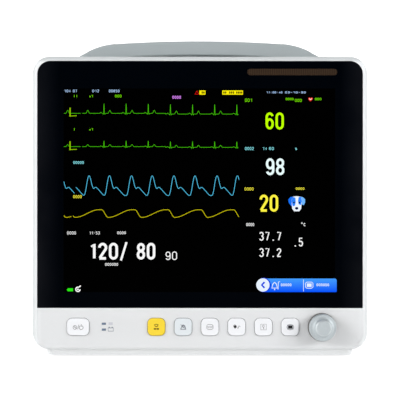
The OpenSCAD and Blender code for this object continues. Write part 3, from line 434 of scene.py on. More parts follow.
# Heart traces: two leads with the same beats, a sweep gap behind the writing point and a height mark.
beat_first, beat_step = 119, 65.25
old_swell = 12
swell_late, swell_wide = 17.4, 3.2
lead_in_early, lead_in_wide, lead_in_share = 9, 2.4, 0.3
peak_half, dip_after, dip_deep = 1.2, 2.4, 3
sweep_gap = (50, 55)
trace_end = 514
drop_from, drop = 300, 2
steps_per_dot = 5


def heart_height(x, peak, swell):
    """Height above the base line of a heart trace, in dots."""
    if x < sweep_gap[0]:
        return swell * math.exp(-((x - old_swell) / swell_wide) ** 2)
    beat = (x - beat_first + beat_step / 2) % beat_step - beat_step / 2
    shape = swell * math.exp(-((beat - swell_late) / swell_wide) ** 2)
    if x > beat_first - beat_step / 2:
        shape += lead_in_share * swell * math.exp(-((beat + lead_in_early) / lead_in_wide) ** 2)
        shape += max(0.0, 1 - abs(beat) / peak_half) * peak
        shape -= dip_deep * max(0.0, 1 - abs(abs(beat) - dip_after))
    return shape


heart_traces = lit_drawing("screen_heart_traces", (76, 208, 14))
for base, peak, swell in ((73.5, 30, 9), (171.5, 18, 6)):
    for x0, x1 in ((1, sweep_gap[0]), (sweep_gap[1], trace_end)):
        steps = (x1 - x0) * steps_per_dot
        xs = [x0 + (x1 - x0) * i / steps for i in range(steps + 1)]
        heart_traces.line(
            [(x, base + drop * (x > drop_from) - heart_height(x, peak, swell)) for x in xs],
            width=1.1)
hung(heart_traces)
hung(written("screen_lime_marks", (122, 232, 0), (
    ("II", 28, 18, 42, 27), ("x1", 75, 18, 87, 27), ("000", 151, 18, 171, 27), ("I", 28, 116, 37, 125),
    ("x1", 75, 116, 87, 125), ("001", 534, 29, 556, 40), ("0000", 654, 27, 678, 35),
    ("000", 681, 30, 702, 40), ("000", 740, 27, 760, 35))))
height_marks = lit_drawing("screen_height_marks", (150, 200, 0))
for top, foot in ((57, 83), (156, 182)):
    height_marks.line([(19, top), (19, foot)], 3.4)
    height_marks.line([(17, foot - 1.5), (39, foot - 2.5)], 2)
hung(height_marks)
hung(written("screen_rate_figures", (190, 255, 0), (("60", 594.5, 70, 649.5, 121.5, 7.9, 0.16),)))

# Oxygen trace: steep rise, fall with a notch, and a slow run-off to the next pulse.
# The shape gives dots after a pulse's peak and dots below it.
pulse_top = 255
pulse_shape = ((-16, 61), (-12, 58), (-8, 36), (-4, 10), (0, 0), (4, 8), (8, 28), (13, 42), (17, 37),
               (21, 36), (27, 42), (34, 50), (42, 59), (47, 61), (60, 61))
round_until = 6
smooth = 2
old_pulses = (-5.5,)
pulses = (15, 75, 135, 200, 261, 325, 387, 452, 512)
pulse_gap = (32, 36)
sweep_end = 517


def pulse_height(x, peaks):
    """Dots below the top of the oxygen trace."""
    since = x - max(peak for peak in peaks if peak <= x - pulse_shape[0][0])
    for (a, low), (b, high) in zip(pulse_shape, pulse_shape[1:]):
        if a <= since <= b:
            share = (since - a) / (b - a)
            if since < round_until:
                share = 3 * share ** 2 - 2 * share ** 3
            return low + (high - low) * share
    return pulse_shape[-1][1]


oxygen_trace = lit_drawing("screen_oxygen_trace", (84, 196, 234))
for x0, x1, peaks in ((1, pulse_gap[0], old_pulses), (pulse_gap[1], sweep_end, pulses)):
    heights = [pulse_height(x, peaks) for x in range(x0 - smooth, x1 + smooth + 1)]
    near = 2 * smooth + 1
    means = [sum(heights[i:i + near]) / near for i in range(x1 - x0 + 1)]
    oxygen_trace.line([(x0 + i, pulse_top + mean) for i, mean in enumerate(means)], width=1.7)
hung(oxygen_trace)
hung(written("screen_cyan_marks", (135, 225, 232), (
    ("00000", 28, 214, 60, 223, 2.3), ("0002", 534, 172, 561, 182, 2.3), ("14", 585, 172, 600, 182, 2.3),
    ("60", 605, 172, 620, 182, 2.3), ("%", 682, 174, 690, 182, 2.3))))
hung(written("screen_oxygen_figures", (236, 255, 255), (("98", 595.5, 204.6, 651.5, 256, 8.0, 0.15),)))

# Breath trace: a slow rise to a flat crest and a quick fall.
breath_step = 97.5
breath_crest, breath_trough = 357.5, 380
crest_from, crest_to = 0.72, 0.8
old_trough = 7.4
troughs = (34, 132, 230, 327, 423, 521)
breath_gap = (23, 28)


def breath_height(x, lows):
    """Share of the way down from the crest to the trough of the breath trace."""
    before_first = lows[0] - breath_step
    share = (x - max(low for low in (before_first, *lows) if low <= x)) / breath_step
    if share < crest_from:
        return 0.5 + 0.5 * math.cos(math.pi * share / crest_from)
    if share < crest_to:
        return 0
    return 0.5 - 0.5 * math.cos(math.pi * (share - crest_to) / (1 - crest_to))


breath_trace = lit_drawing("screen_breath_trace", (214, 204, 16))
for x0, x1, lows in ((1, breath_gap[0], (old_trough,)), (breath_gap[1], sweep_end, troughs)):
    breath_trace.line([(x, breath_crest + (breath_trough - breath_crest) * breath_height(x, lows))
                       for x in range(x0, x1 + 1)], width=1.55)
hung(breath_trace)
hung(written("screen_yellow_marks", (255, 244, 66), (
    ("0000", 28, 314, 54, 324), ("0000", 533, 291, 560, 301), ("0000", 684, 291, 710, 299),
    ("20", 577, 312.2, 633, 363.6, 8.2, 0.15))))

# Cuff pressure, temperatures and the small signs at the lower left.
white_marks = written("screen_white_marks", (250, 250, 250), (
    ("0000", 10, 421, 37, 431), ("11:53", 75, 421, 107, 431), ("0000", 158, 421, 184, 430),
    ("1", 77, 454.4, 96.5, 505, 8.5, 0.0), ("20", 101.5, 454.4, 161, 505, 8.5, 0.15),
    ("/", 164.5, 454, 190, 506, 7.2, 0.0), ("80", 215, 454.4, 271, 505, 8.5, 0.15),
    ("90", 300, 480, 335, 506, 3.7), ("000000", 122, 514, 161, 523), ("0000", 538, 396, 562, 406),
    ("o", 699, 394, 706, 406, 2.2, 0.0), ("C", 707, 396, 714, 406, 2.5, 0.0),
    ("37.7", 576, 422, 642, 449, 4.3), ("37.2", 576, 470, 642, 497, 4.3),
    (".5", 676, 439, 706, 466, 4.3, 0.2)))
white_marks.ring(42.5, 592, 6.4, 3.4, start=60, turn=300)
white_marks.disc(42.5, 592, 2.6)
white_marks.line([(46.5, 585.5), (50.5, 581)], 3.6)
hung(white_marks)
charge_sign = lit_drawing("screen_charge_sign", (40, 230, 20))
charge_sign.box(12, 589, 28, 598)
charge_sign.patch([(9, 593.5), (12, 590.5), (12, 596.5)])
hung(charge_sign)

# Alarm signs: a red triangle, two yellow fields with dark figures, and a red heart with a pale gleam.
red_signs = lit_drawing("screen_red_signs", (225, 22, 14))
red_signs.line([(387, 17), (393, 7), (398, 17)], 2.6, closed=True)
heart_x, heart_y = 727.5, 31.5
heart_half, heart_waves = 6.8, (5.8, -2.2, -0.9, -0.4)
turns = [math.pi * i / 20 for i in range(40)]
red_signs.patch([(heart_x + heart_half * math.sin(t) ** 3,
                  heart_y - sum(wave * math.cos((i + 1) * t) for i, wave in enumerate(heart_waves)))
                 for t in turns])
hung(red_signs)
gleam = lit_drawing("screen_heart_gleam", (255, 214, 206), 3)
gleam.line([(heart_x - 4, heart_y - 2), (heart_x, heart_y + 1.5), (heart_x + 4, heart_y - 2)], 3)
hung(gleam)
yellow_fields = lit_drawing("screen_yellow_fields", (255, 240, 10))
yellow_fields.box(400, 5.8, 418, 18.2)
yellow_fields.box(467.5, 5.8, 528.5, 18.2)
hung(yellow_fields)
hung(written("screen_field_figures", (66, 54, 0), (
    ("00", 406, 8, 416, 16, 2.8), ("00", 470, 8, 480, 16, 2.8), ("000", 487, 8, 503, 16, 2.8),
    ("0000", 508, 8, 527, 16, 2.8)), 3))

# Patient sign: a plain dog's head from the front, white with blue ears, blue eye patches and dark nose.
dog_x, dog_y, dog_scale = 687, 339, 0.95
for name, colour, depth, outlines in (
        ("screen_dog_ears", (22, 112, 246), 2, [
            [(-13, -21), (-20, -20), (-26, -12), (-25, -4), (-20, 4), (-14, 10), (-10, -6)]]),
        ("screen_dog_ear_light", (112, 184, 255), 2, [
            [(12, -21), (19, -20), (26, -13), (26, -3), (22, 5), (17, 3), (10, -8)]]),
        ("screen_dog_head", (240, 247, 255), 3, [
            [(-13, -21), (0, -23), (13, -21), (16, -10), (15, 4), (14, 16), (8, 24), (-8, 24), (-14, 16),
             (-15, 4), (-16, -10)]]),
        ("screen_dog_patch", (44, 130, 250), 4, [
            [(-13, -21), (-4, -18), (-3, -4), (-5, 6), (-12, 9), (-16, -8)],
            [(6, -20), (13, -21), (16, -8), (13, 5), (6, 2), (4, -8)]])):
    drawing = lit_drawing(name, colour, depth)
    for outline in outlines:
        drawing.patch([(dog_x + dog_scale * x, dog_y + dog_scale * y) for x, y in outline])
    hung(drawing)
dog_dark = lit_drawing("screen_dog_dark", (6, 20, 74), 5)
dog_dark.disc(dog_x - 8, dog_y - 3, 2.6)
dog_dark.disc(dog_x + 8, dog_y - 3, 2.6)
dog_dark.disc(dog_x, dog_y + 14, 5, 0.8)
hung(dog_dark)

# Soft-key bar: a blue band that deepens downwards, with a white return disc at its left end.
bar_left, bar_top, bar_right, bar_foot = 587, 560, 805, 600
round_top, round_foot = 6, 3
bar_light, tree, shader = start_material("screen_bar")
fall = share_of(tree, axes(tree, here(tree))["Z"],
                lit_spot(0)(0, bar_foot)[2], lit_spot(0)(0, bar_top)[2])
light_up(tree, shader, two_tone(tree, fall, tint(0, 80, 252), tint(66, 156, 254)), shine=0.01)
soft_bar = Drawing("screen_bar", bar_light, lit_spot(2))
soft_bar.patch(
    [(bar_left, bar_top)]
    + [(bar_right - round_top + x, bar_top + round_top - y) for x, y in arc(0, 0, round_top, 90, -90)]
    + [(bar_right - round_foot + x, bar_foot - round_foot - y) for x, y in arc(0, 0, round_foot, 0, -90)]
    + [(bar_left, bar_foot)])
hung(soft_bar)
bar_shade = lit_drawing("screen_bar_shade", (10, 60, 225), 3)
bar_shade.disc(590, 579, 21)
hung(bar_shade)
bar_signs = lit_drawing("screen_bar_signs", (232, 242, 255), 4)
bar_signs.disc(587.5, 579, 19.6)
bar_signs.line([(707, 563), (707, 598)], 1.5)
for text, x0, x1 in (("00000", 640, 672), ("000000", 745, 783)):
    figures(bar_signs, text, x0, 574, x1, 583, 2.4)
bar_signs.line([(614, 588), (617, 576), (622, 571), (627, 576), (630, 588)], 2.6, closed=True)
bar_signs.line([(622, 590), (622, 594)], 3)
bar_signs.line([(632, 592), (633, 570), (638, 569)], 2.0)
bar_signs.line([(713, 574), (717, 570.5), (731, 570.5), (735, 574), (735, 585), (731, 588.5),
                (717, 588.5), (713, 585)], 2, closed=True)
bar_signs.box(717, 574.5, 731, 584.5)
hung(bar_signs)
return_arrow = lit_drawing("screen_return_arrow", (0, 66, 226), 5)
return_arrow.line([(592.5, 570.5), (584, 579), (592.5, 587.5)], 5.6)
hung(return_arrow)


# Alarm window: a smoked clear strip that the alarm lamps shine through, fused into the glass.
# Its back is finely ribbed to spread the light, which shows as faint upright lines in the smoke.
rib_step = 0.002
alarm_smoke, tree, shader = start_material("alarm_smoke")
rib_turns = reckon(tree, "MULTIPLY", axes(tree, here(tree))["X"], 2 * math.pi / rib_step)
ribs = share_of(tree, reckon(tree, "SINE", rib_turns), -1.0, 1.0)
feed(tree, shader, {"Base Color": two_tone(tree, ribs, tint(44, 31, 21), tint(60, 46, 34)),
                    "Roughness": 0.22, "Specular IOR Level": 0.06})
dress(alarm_smoke, "alarm_lens")


# Keys: seven dip-coated plastic caps with a soft satin skin, each on its own spring switch.
# Below the strip each cap is darkened with painted shade, so a fine dark line runs round it in the gap.
# Their signs are printed with a dark ink that wears a little thin.
def key_cap(name, colour, *keys):
    made, tree, shader = start_material(name)
    deep = axes(tree, here(tree))["Y"]
    # Painted shade: the cap is darkened wherever it lies deeper than the strip.
    painted_gap_shade = reckon(tree, "GREATER_THAN", deep, bezel_low.y + strip_sink)
    skin = blend(tree, painted_gap_shade, colour, tint(70, 72, 76))
    wear_plastic(tree, shader, skin, dullness=0.42, grains=2600, drift=0.02, depth=0.00001)
    dress(made, *keys)


key_cap("key_white", tint(246, 247, 250), "power_key", "freeze_key", "cuff_key", "lead_key", "menu_key")
key_cap("key_yellow", tint(252, 219, 54), "silence_key")
key_cap("key_blue", tint(230, 236, 240), "reset_key")

# The ink group: a thin print, paler and rougher where the specks let the skin show.
printed_ink, given, result = start_group(
    "printed_ink", [("Color", "Ink", (0, 0, 0, 1)), ("Float", "Thin spots", 0.25)],
    [("Color", "Colour"), ("Float", "Roughness")])
specks = noise(printed_ink, here(printed_ink), scale=2600.0, detail=3.0)
cover = reckon(printed_ink, "MULTIPLY_ADD", specks, given["Thin spots"], 0.9)
feed(printed_ink, result, {
    "Colour": scaled(printed_ink, given["Ink"], cover),
    "Roughness": share_of(printed_ink, specks, 0.0, 1.0, start=0.45, end=0.7),
})


def ink(name, *colour):
    made, tree, shader = start_material(name)
    skin = use_group(tree, printed_ink, Ink=tint(*colour))
    feed(tree, shader, {"Base Color": skin["Colour"], "Roughness": skin["Roughness"],
                        "Specular IOR Level": 0.2})
    return made


ink_brown = ink("ink_brown", 104, 78, 12)
ink_slate = ink("ink_slate", 112, 116, 126)
ink_grey = ink("ink_grey", 158, 158, 160)
ink_black = ink("ink_black", 26, 25, 27)
ink_ash = ink("ink_ash", 180, 182, 186)
print_lift = 0.00004


def key_sign(node, part, material, coats=1):
    """A print on a key's front, in millimetres to the right of and above its middle."""
    low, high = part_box(node)

    def spot(x, y):
        return ((low.x + high.x) / 2 + x / 1000, low.y - coats * print_lift,
                (low.z + high.z) / 2 + y / 1000)

    return Drawing(node + "_" + part, material, spot)


sign = key_sign("silence_key", "sign", ink_brown)
sign.ring(0, 1.4, 1.35, 0.62, 0.8)
sign.line([(-1.9, 2.3), (-1.1, 1.8)], 0.45)
sign.line([(1.9, 2.3), (1.1, 1.8)], 0.45)
sign.box(-2.3, -2.4, -0.2, -1.0)
sign.box(0.2, -2.4, 2.3, -1.0)
sign.made("silence_key_body")

sign = key_sign("reset_key", "sign", ink_slate)
sign.line([(-2.0, -1.7), (-1.4, 0.4), (-0.4, 1.8), (0.6, 1.9), (1.7, 0.6), (2.2, -1.7)], 0.55)
sign.line([(-2.6, -2.0), (2.6, -2.0)], 0.6)
sign.ring(0.1, 0.5, 0.9, 0.5)
sign.line([(-2.3, 2.3), (2.0, -1.4)], 0.42)
sign.made("reset_key_body")

sign = key_sign("freeze_key", "sign", ink_grey)
sign.line([(-2.8, -1.2), (-1.8, -2.1), (1.8, -2.1), (2.8, -1.2), (2.8, 1.3), (1.8, 2.2), (-1.8, 2.2),
           (-2.8, 1.3)], 0.55, closed=True)
sign.line([(-2.5, 0.1), (2.5, 0.1)], 0.6)
for x in (-1, 1):
    sign.line([(x, 0.1), (x, -1.2)], 0.4)
sign.made("freeze_key_body")

sign = key_sign("cuff_key", "sign", ink_grey)
sign.line([(-3.2, 1.2), (-1.5, 2.2), (0.2, 0.2), (-1.5, -1.4)], 0.6, closed=True)
sign.line([(0.2, -0.6), (1.2, -1.2), (2.0, 1.2), (3.2, 0.2)], 0.65)
sign.made("cuff_key_body")
sign = key_sign("cuff_key", "dot", ink_black)
sign.disc(-1.55, 0.35, 1.2)
sign.made("cuff_key_body")

sign = key_sign("lead_key", "sign", ink_grey)
sign.line([(-2.5, -2.5), (-2.5, 2.6), (2.5, 2.6), (2.5, -2.5)], 0.5, closed=True)
sign.ring(-0.2, 0.9, 0.9, 0.42)
sign.line([(0.1, 0.1), (0.2, -1.9)], 0.7)
sign.made("lead_key_body")

sign = key_sign("menu_key", "sign", ink_ash)
sign.disc(0, 0, 3.4, 0.82)
sign.made("menu_key_body")
sign = key_sign("menu_key", "dot", ink_black, coats=2)
sign.box(-1.9, -1.3, 1.9, 1.4)
for x, y in ((-2.4, -1.7), (2.4, -1.7), (-2.4, 1.7), (2.4, 1.7)):
    sign.disc(x, y, 0.35)
sign.made("menu_key_body")

sign = key_sign("power_key", "sign", ink_grey)
sign.ring(-2.7, -0.4, 1.75, 0.5)
sign.line([(-3.8, 0.4), (-1.8, -1.6)], 0.4)
sign.line([(-3.3, 0.9), (-1.3, -1.1)], 0.4)
sign.line([(-0.4, -2.2), (0.9, 2.2)], 0.5)
sign.ring(2.9, -0.5, 1.75, 0.6, start=295, turn=310)
sign.line([(2.9, 0.2), (2.9, 2.6)], 0.6)
sign.made("power_key_body")


# Light pipes of the two status lamps: tinted clear rods, pushed in from behind, flush with the strip.
# A pale mains sign and the outline of a battery are printed on the strip beside them.
lamp_blue = moulded_plastic(
    "lamp_blue", tint(110, 128, 150), dullness=0.25, grains=3000, drift=0.1, depth=0.00001, shine=0.5)
dress(lamp_blue, "indicator_pipes")
lamp_low, lamp_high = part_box("indicator_pipes")


def strip_spot(x, y):
    """Millimetres to the right of and above the middle of the lamps, on the control strip."""
    return ((lamp_low.x + lamp_high.x) / 2 + x / 1000, bezel_low.y + strip_sink - print_lift,
            (lamp_low.z + lamp_high.z) / 2 + y / 1000)


mains_sign = Drawing("mains_sign", ink("ink_pale", 204, 205, 212), strip_spot)
mains_sign.box(4.2, 1.6, 8.0, 4.0)
mains_sign.made("monitor")
charge_case = Drawing("charge_sign", ink("ink_mist", 128, 134, 148), strip_spot)
charge_case.line([(3.9, -4.0), (3.9, -1.1), (8.6, -1.1), (8.6, -4.0)], 0.62, closed=True)
charge_case.box(4.3, -1.1, 5.5, -0.1)
charge_case.box(7.0, -1.1, 8.2, -0.1)
charge_case.made("monitor")


# Knob: a silver-lacquered cap pressed on the encoder's shaft, which turns in a plunger that slides.
# The lacquer holds fine metal flakes, so it glitters weakly; the foot of the skirt is darkened with
# painted shade, for the shadow at the panel.
# The bevel round the flat cap is lightened with a painted highlight.
knob_low, knob_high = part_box("knob")
knob_axis = ((knob_low.x + knob_high.x) / 2, 0, (knob_low.z + knob_high.z) / 2)
knob_foot = 0.005
bevel_radius, bevel_half, bevel_deep = 0.0068, 0.0005, 0.0014
knob_silver, tree, shader = start_material("knob_silver")
where = here(tree)
flakes = place(tree, "ShaderNodeTexVoronoi", {"Vector": where, "Scale": 5200.0}).outputs["Color"]
flake_level = axes(tree, flakes)["X"]
lacquer = two_tone(tree, flake_level, tint(182, 190, 193), tint(202, 209, 212))
deep = axes(tree, where)["Y"]
# Painted shade: the skirt's foot next to the panel is darkened.
painted_foot_shade = reckon(tree, "GREATER_THAN", deep, knob_high.y - knob_foot)
coat = blend(tree, painted_foot_shade, lacquer, tint(104, 102, 98))
sideways = place(tree, "ShaderNodeVectorMath", {0: where, 1: (1, 0, 1)}, operation="MULTIPLY").outputs[0]
off_axis = place(
    tree, "ShaderNodeVectorMath", {0: sideways, 1: knob_axis}, operation="DISTANCE").outputs["Value"]
# Painted highlight: a paler ring on the bevel round the flat cap.
round_cap = reckon(tree, "COMPARE", off_axis, bevel_radius, bevel_half)
in_front = reckon(tree, "LESS_THAN", deep, knob_low.y + bevel_deep)
painted_bevel_highlight = reckon(tree, "MULTIPLY", round_cap, in_front)
feed(tree, shader, {
    "Base Color": blend(tree, painted_bevel_highlight, coat, tint(208, 214, 216)),
    "Roughness": share_of(tree, flake_level, 0.0, 1.0, start=0.5, end=0.6),
    "Metallic": 0.45, "Specular IOR Level": 0.5,
})
dress(knob_silver, "knob")


# Carry handle: a gas-filled moulding in grey, arched over the finger well and screwed down from inside.
# Its tool is etched a little coarser than the case's, so that it grips.
handle_grey = moulded_plastic(
    "handle_grey", tint(166, 174, 176), dullness=0.55, grains=1300, drift=0.05, depth=0.00003)
dress(handle_grey, "carry_handle")


# Base and feet: a shallow moulded tray screwed under the housing, with four soft pads sunk into it.
# Its upper part is lifted with painted light; the bottom edge and both ends are darkened with painted
# shade.
base_low, base_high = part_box("base_foot")
shade_rise = 0.0045
end_shade_reach = (0.006, 0.001)
base_grey, tree, shader = start_material("base_grey")
across = axes(tree, here(tree))
# Painted light and shade: paler towards the top, greyer towards the bottom edge.
light_over_shade = share_of(tree, across["Z"], base_low.z, base_low.z + shade_rise)
skin = two_tone(tree, light_over_shade, tint(222, 224, 225), tint(253, 254, 254))
# Painted shade: greyer at both ends.
painted_end_shade = share_of(tree, reckon(tree, "ABSOLUTE", across["X"]),
                  base_high.x - end_shade_reach[0], base_high.x - end_shade_reach[1])
wear_plastic(tree, shader, blend(tree, painted_end_shade, skin, tint(226, 228, 229)), dullness=0.55)
foot_rubber = moulded_plastic(
    "foot_rubber", tint(205, 207, 209), dullness=0.85, grains=900, drift=0.08, depth=0.00005, shine=0.2)
dress(base_grey, "base_foot")
dress(foot_rubber, "rubber_feet")


# Metal pieces: chassis and brackets bent from zinc-plated sheet, turned screws, pins and brass inserts,
# and a drawn aluminium heat sink. Each keeps fine marks along the way it was rolled, turned or drawn.
brushed_metal, given, result = start_group(
    "brushed_metal",
    [("Color", "Metal", (0.6, 0.6, 0.6, 1)), ("Vector", "Stretch", (1, 1, 1)), ("Float", "Marks", 0.12),
     ("Float", "Dullness", 0.35)],
    [("Color", "Colour"), ("Float", "Roughness"), ("Float", "Height")])
drawn = place(brushed_metal, "ShaderNodeVectorMath", {0: here(brushed_metal), 1: given["Stretch"]},
              operation="MULTIPLY").outputs[0]
marks = noise(brushed_metal, drawn, scale=900.0, detail=4.0)
swing = reckon(brushed_metal, "ADD", marks, -0.5)
shade = reckon(brushed_metal, "MULTIPLY_ADD", swing, given["Marks"], 1.0)
feed(brushed_metal, result, {
    "Colour": scaled(brushed_metal, given["Metal"], shade),
    "Roughness": reckon(brushed_metal, "MULTIPLY_ADD", swing, 0.3, given["Dullness"]),
    "Height": marks,
})


def metal(name, colour, stretch, dullness):
    made, tree, shader = start_material(name)
    skin = use_group(tree, brushed_metal, Metal=colour, Stretch=stretch, Dullness=dullness)
    bump = place(tree, "ShaderNodeBump", {
        "Height": skin["Height"], "Distance": 0.00001, "Strength": 0.4}).outputs[0]
    feed(tree, shader, {"Base Color": skin["Colour"], "Roughness": skin["Roughness"],
                        "Normal": bump, "Metallic": 1})
    return made


zinc_steel = metal("zinc_steel", tint(190, 193, 196), stretch=(0.08, 1, 1), dullness=0.35)
turned_steel = metal("turned_steel", tint(196, 198, 202), stretch=(1, 0.1, 1), dullness=0.28)
aluminium = metal("aluminium", tint(200, 203, 207), stretch=(1, 1, 0.05), dullness=0.4)
brass = metal("brass", tint(214, 184, 112), stretch=(1, 0.15, 1), dullness=0.3)
plated_port = metal("plated_port", tint(206, 208, 211), stretch=(0.1, 1, 1), dullness=0.2)
dress(zinc_steel, "chassis", "panel_brackets", "socket_plate", "network_socket", "encoder_body")
dress(turned_steel, "encoder_shaft", "door_pin", "handle_screws", "base_screws", "housing_screws")
dress(aluminium, "heat_sink")
dress(brass, "mount_inserts")
dress(plated_port, "cuff_port")


# Circuit boards: glass-fibre sheet with green solder mask over copper tracks.
# The mask is open over tinned pads, where the parts were soldered on.
pad_reach = 0.16
circuit_board, tree, shader = start_material("circuit_board")
where = here(tree)
upright = place(tree, "ShaderNodeMapping", {"Vector": where, "Rotation": (math.pi / 2, 0, 0)}).outputs[0]
tracks = place(tree, "ShaderNodeTexBrick", {
    "Vector": upright, "Scale": 180.0, "Mortar Size": 0.03, "Color1": tint(18, 84, 44),
    "Color2": tint(22, 94, 50), "Mortar": tint(38, 122, 66),
}).outputs["Color"]
pads = place(tree, "ShaderNodeTexVoronoi", {"Vector": where, "Scale": 260.0}).outputs["Distance"]
open_pad = reckon(tree, "LESS_THAN", pads, pad_reach)
feed(tree, shader, {
    "Base Color": blend(tree, open_pad, tracks, tint(196, 190, 160)),
    "Roughness": share_of(tree, pads, 0.0, 1.0, start=0.3, end=0.5),
})
dress(circuit_board, "key_board", "alarm_light_board", "main_board", "power_supply", "parameter_board")


# Pieces inside the case: panel tray, switches, pump, valve and speaker in black plastic, and the battery
# in shrunk blue film in its grey bay. A clear soft hose takes the air from the pump to the cuff port.
black_plastic = moulded_plastic(
    "black_plastic", tint(34, 34, 36), dullness=0.5, grains=1400, drift=0.1, depth=0.00003)
bay_grey = moulded_plastic("bay_grey", tint(70, 72, 76), dullness=0.55)
battery_blue = moulded_plastic(
    "battery_blue", tint(56, 82, 118), dullness=0.35, grains=700, drift=0.06, depth=0.00003, shine=0.5)
hose_clear = moulded_plastic(
    "hose_clear", tint(216, 216, 208), dullness=0.4, grains=500, drift=0.04, depth=0.00002)
dress(black_plastic, "display_panel", "key_switches", "encoder_plunger", "air_pump", "air_valve",
      "speaker", "mains_inlet")
dress(bay_grey, "battery_bay")
dress(battery_blue, "battery_pack")
dress(hose_clear, "air_tube")


# Patient sockets: coloured collars in a grey panel at the left side, with gilt pins in their wells.
# The cuff port has a rubber ring that seals on the hose coupling.
panel_grey = moulded_plastic("panel_grey", tint(152, 158, 164))
dress(panel_grey, "connector_panel")
for name, colour, node in (("socket_green", tint(82, 140, 88), "ecg_socket"),
                           ("socket_blue", tint(62, 100, 156), "oxygen_socket"),
                           ("socket_brown", tint(116, 92, 80), "temperature_sockets")):
    collar = moulded_plastic(
        name, colour, dullness=0.35, grains=2200, drift=0.05, depth=0.00001, shine=0.5)
    dress(collar, node)
seal_rubber = moulded_plastic(
    "seal_rubber", tint(40, 40, 42), dullness=0.8, grains=900, drift=0.1, depth=0.00004, shine=0.2)


def turned(name, profile, places, material, body, sides=24, ring=False):
    """Pieces turned on a lathe: (radius, height) pairs, spun at each place; a ring has no ends."""
    points, faces = [], []
    turns = [2 * math.pi * i / sides for i in range(sides)]
    for place_at in places:
        first = len(points)
        for radius, height in profile:
            for turn in turns:
                spun = Vector((radius * math.cos(turn), radius * math.sin(turn), height))
                points.append(place_at @ spun)
        for row in range(len(profile) - 1 + ring):
            near, far = first + row * sides, first + (row + 1) % len(profile) * sides
            for i in range(sides):
                after = (i + 1) % sides
                faces.append([near + i, near + after, far + after, far + i])
        if not ring:
            faces.append(list(range(first + sides - 1, first - 1, -1)))
            faces.append(list(range(len(points) - sides, len(points))))
    made = mesh_piece(name, points, faces, material)
    for face in made.data.polygons:
        face.use_smooth = len(face.vertices) == 4
    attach(made, body)
    return made


def node_middle(name):
    low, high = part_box(name)
    return (low + high) / 2


out_of_side = Matrix.Rotation(math.radians(-90), 4, "Y")
pin_sunk = 0.003


def side_pins(name, node, count, circle, well, radius):
    middle = node_middle(node)
    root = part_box(node)[0].x + well
    turns = [2 * math.pi * (i + 0.5) / count for i in range(count)]
    roots = [(root, middle.y + circle * math.cos(t), middle.z + circle * math.sin(t)) for t in turns]
    places = [Matrix.Translation(spot) @ out_of_side for spot in roots]
    tall = well - pin_sunk
    profile = [(radius, 0), (radius, tall - radius), (radius * 0.7, tall - radius * 0.3),
               (radius * 0.25, tall)]
    turned(name, profile, places, brass, "monitor", sides=12)


side_pins("heart_socket_pins", "ecg_socket", count=6, circle=0.0042, well=0.011, radius=0.0006)
side_pins("oxygen_socket_pins", "oxygen_socket", count=5, circle=0.0032, well=0.011, radius=0.0005)
cuff_middle = node_middle("cuff_port")
seal_radius, seal_bead, seal_steps = 0.0057, 0.0009, 12
turns = [2 * math.pi * i / seal_steps for i in range(seal_steps)]
bead = [(seal_radius + seal_bead * math.cos(t), seal_bead * math.sin(t)) for t in turns]
port_mouth = Matrix.Translation((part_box("cuff_port")[0].x, cuff_middle.y, cuff_middle.z)) @ out_of_side
turned("cuff_seal", bead, [port_mouth], seal_rubber, "monitor", sides=40, ring=True)


# Rear sockets: a three-blade mains inlet, a screened network jack and a brass earth stud on steel sheet.
# The blades and contact wires are plated; the stud has a rolled thread and a thin hexagon nut.
def bars(name, middles, half, material, chamfer=0.25, tip=1.01):
    """Small plated bars with a chamfered outer end."""
    points, faces = [], []
    for middle in middles:
        first = len(points)
        for reach, grow in ((-1, 1), (1 - chamfer, 1), (tip, 1 - chamfer)):
            for sx, sz in ((-1, -1), (1, -1), (1, 1), (-1, 1)):
                corner = Vector((sx * half[0] * grow, reach * half[1], sz * half[2] * grow))
                points.append(Vector(middle) + corner)
        for near in (first, first + 4):
            for i in range(4):
                after = (i + 1) % 4
                faces.append([near + i, near + 4 + i, near + 4 + after, near + after])
        faces.append([first, first + 1, first + 2, first + 3])
        faces.append([first + 11, first + 10, first + 9, first + 8])
    made = mesh_piece(name, points, faces, material)
    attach(made, "monitor")


inlet_middle = node_middle("mains_inlet")
blade_half = (0.00105, 0.006, 0.00205)
blade_sunk = 0.017
blade_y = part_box("mains_inlet")[1].y - blade_sunk + blade_half[1]
blades = [(inlet_middle.x + x, blade_y, inlet_middle.z + z)
          for x, z in ((-0.007, -0.002), (0.007, -0.002), (0, 0.002))]
bars("inlet_blades", blades, blade_half, turned_steel)

jack_middle = node_middle("network_socket")
contact_half = (0.00022, 0.0045, 0.0004)
contact_count, contact_step = 8, 0.00102
contact_sunk, contact_up = 0.007, 0.0034
contact_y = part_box("network_socket")[1].y - contact_sunk
contacts = [(jack_middle.x + (i - (contact_count - 1) / 2) * contact_step, contact_y,
             jack_middle.z + contact_up) for i in range(contact_count)]
bars("network_contacts", contacts, contact_half, brass)

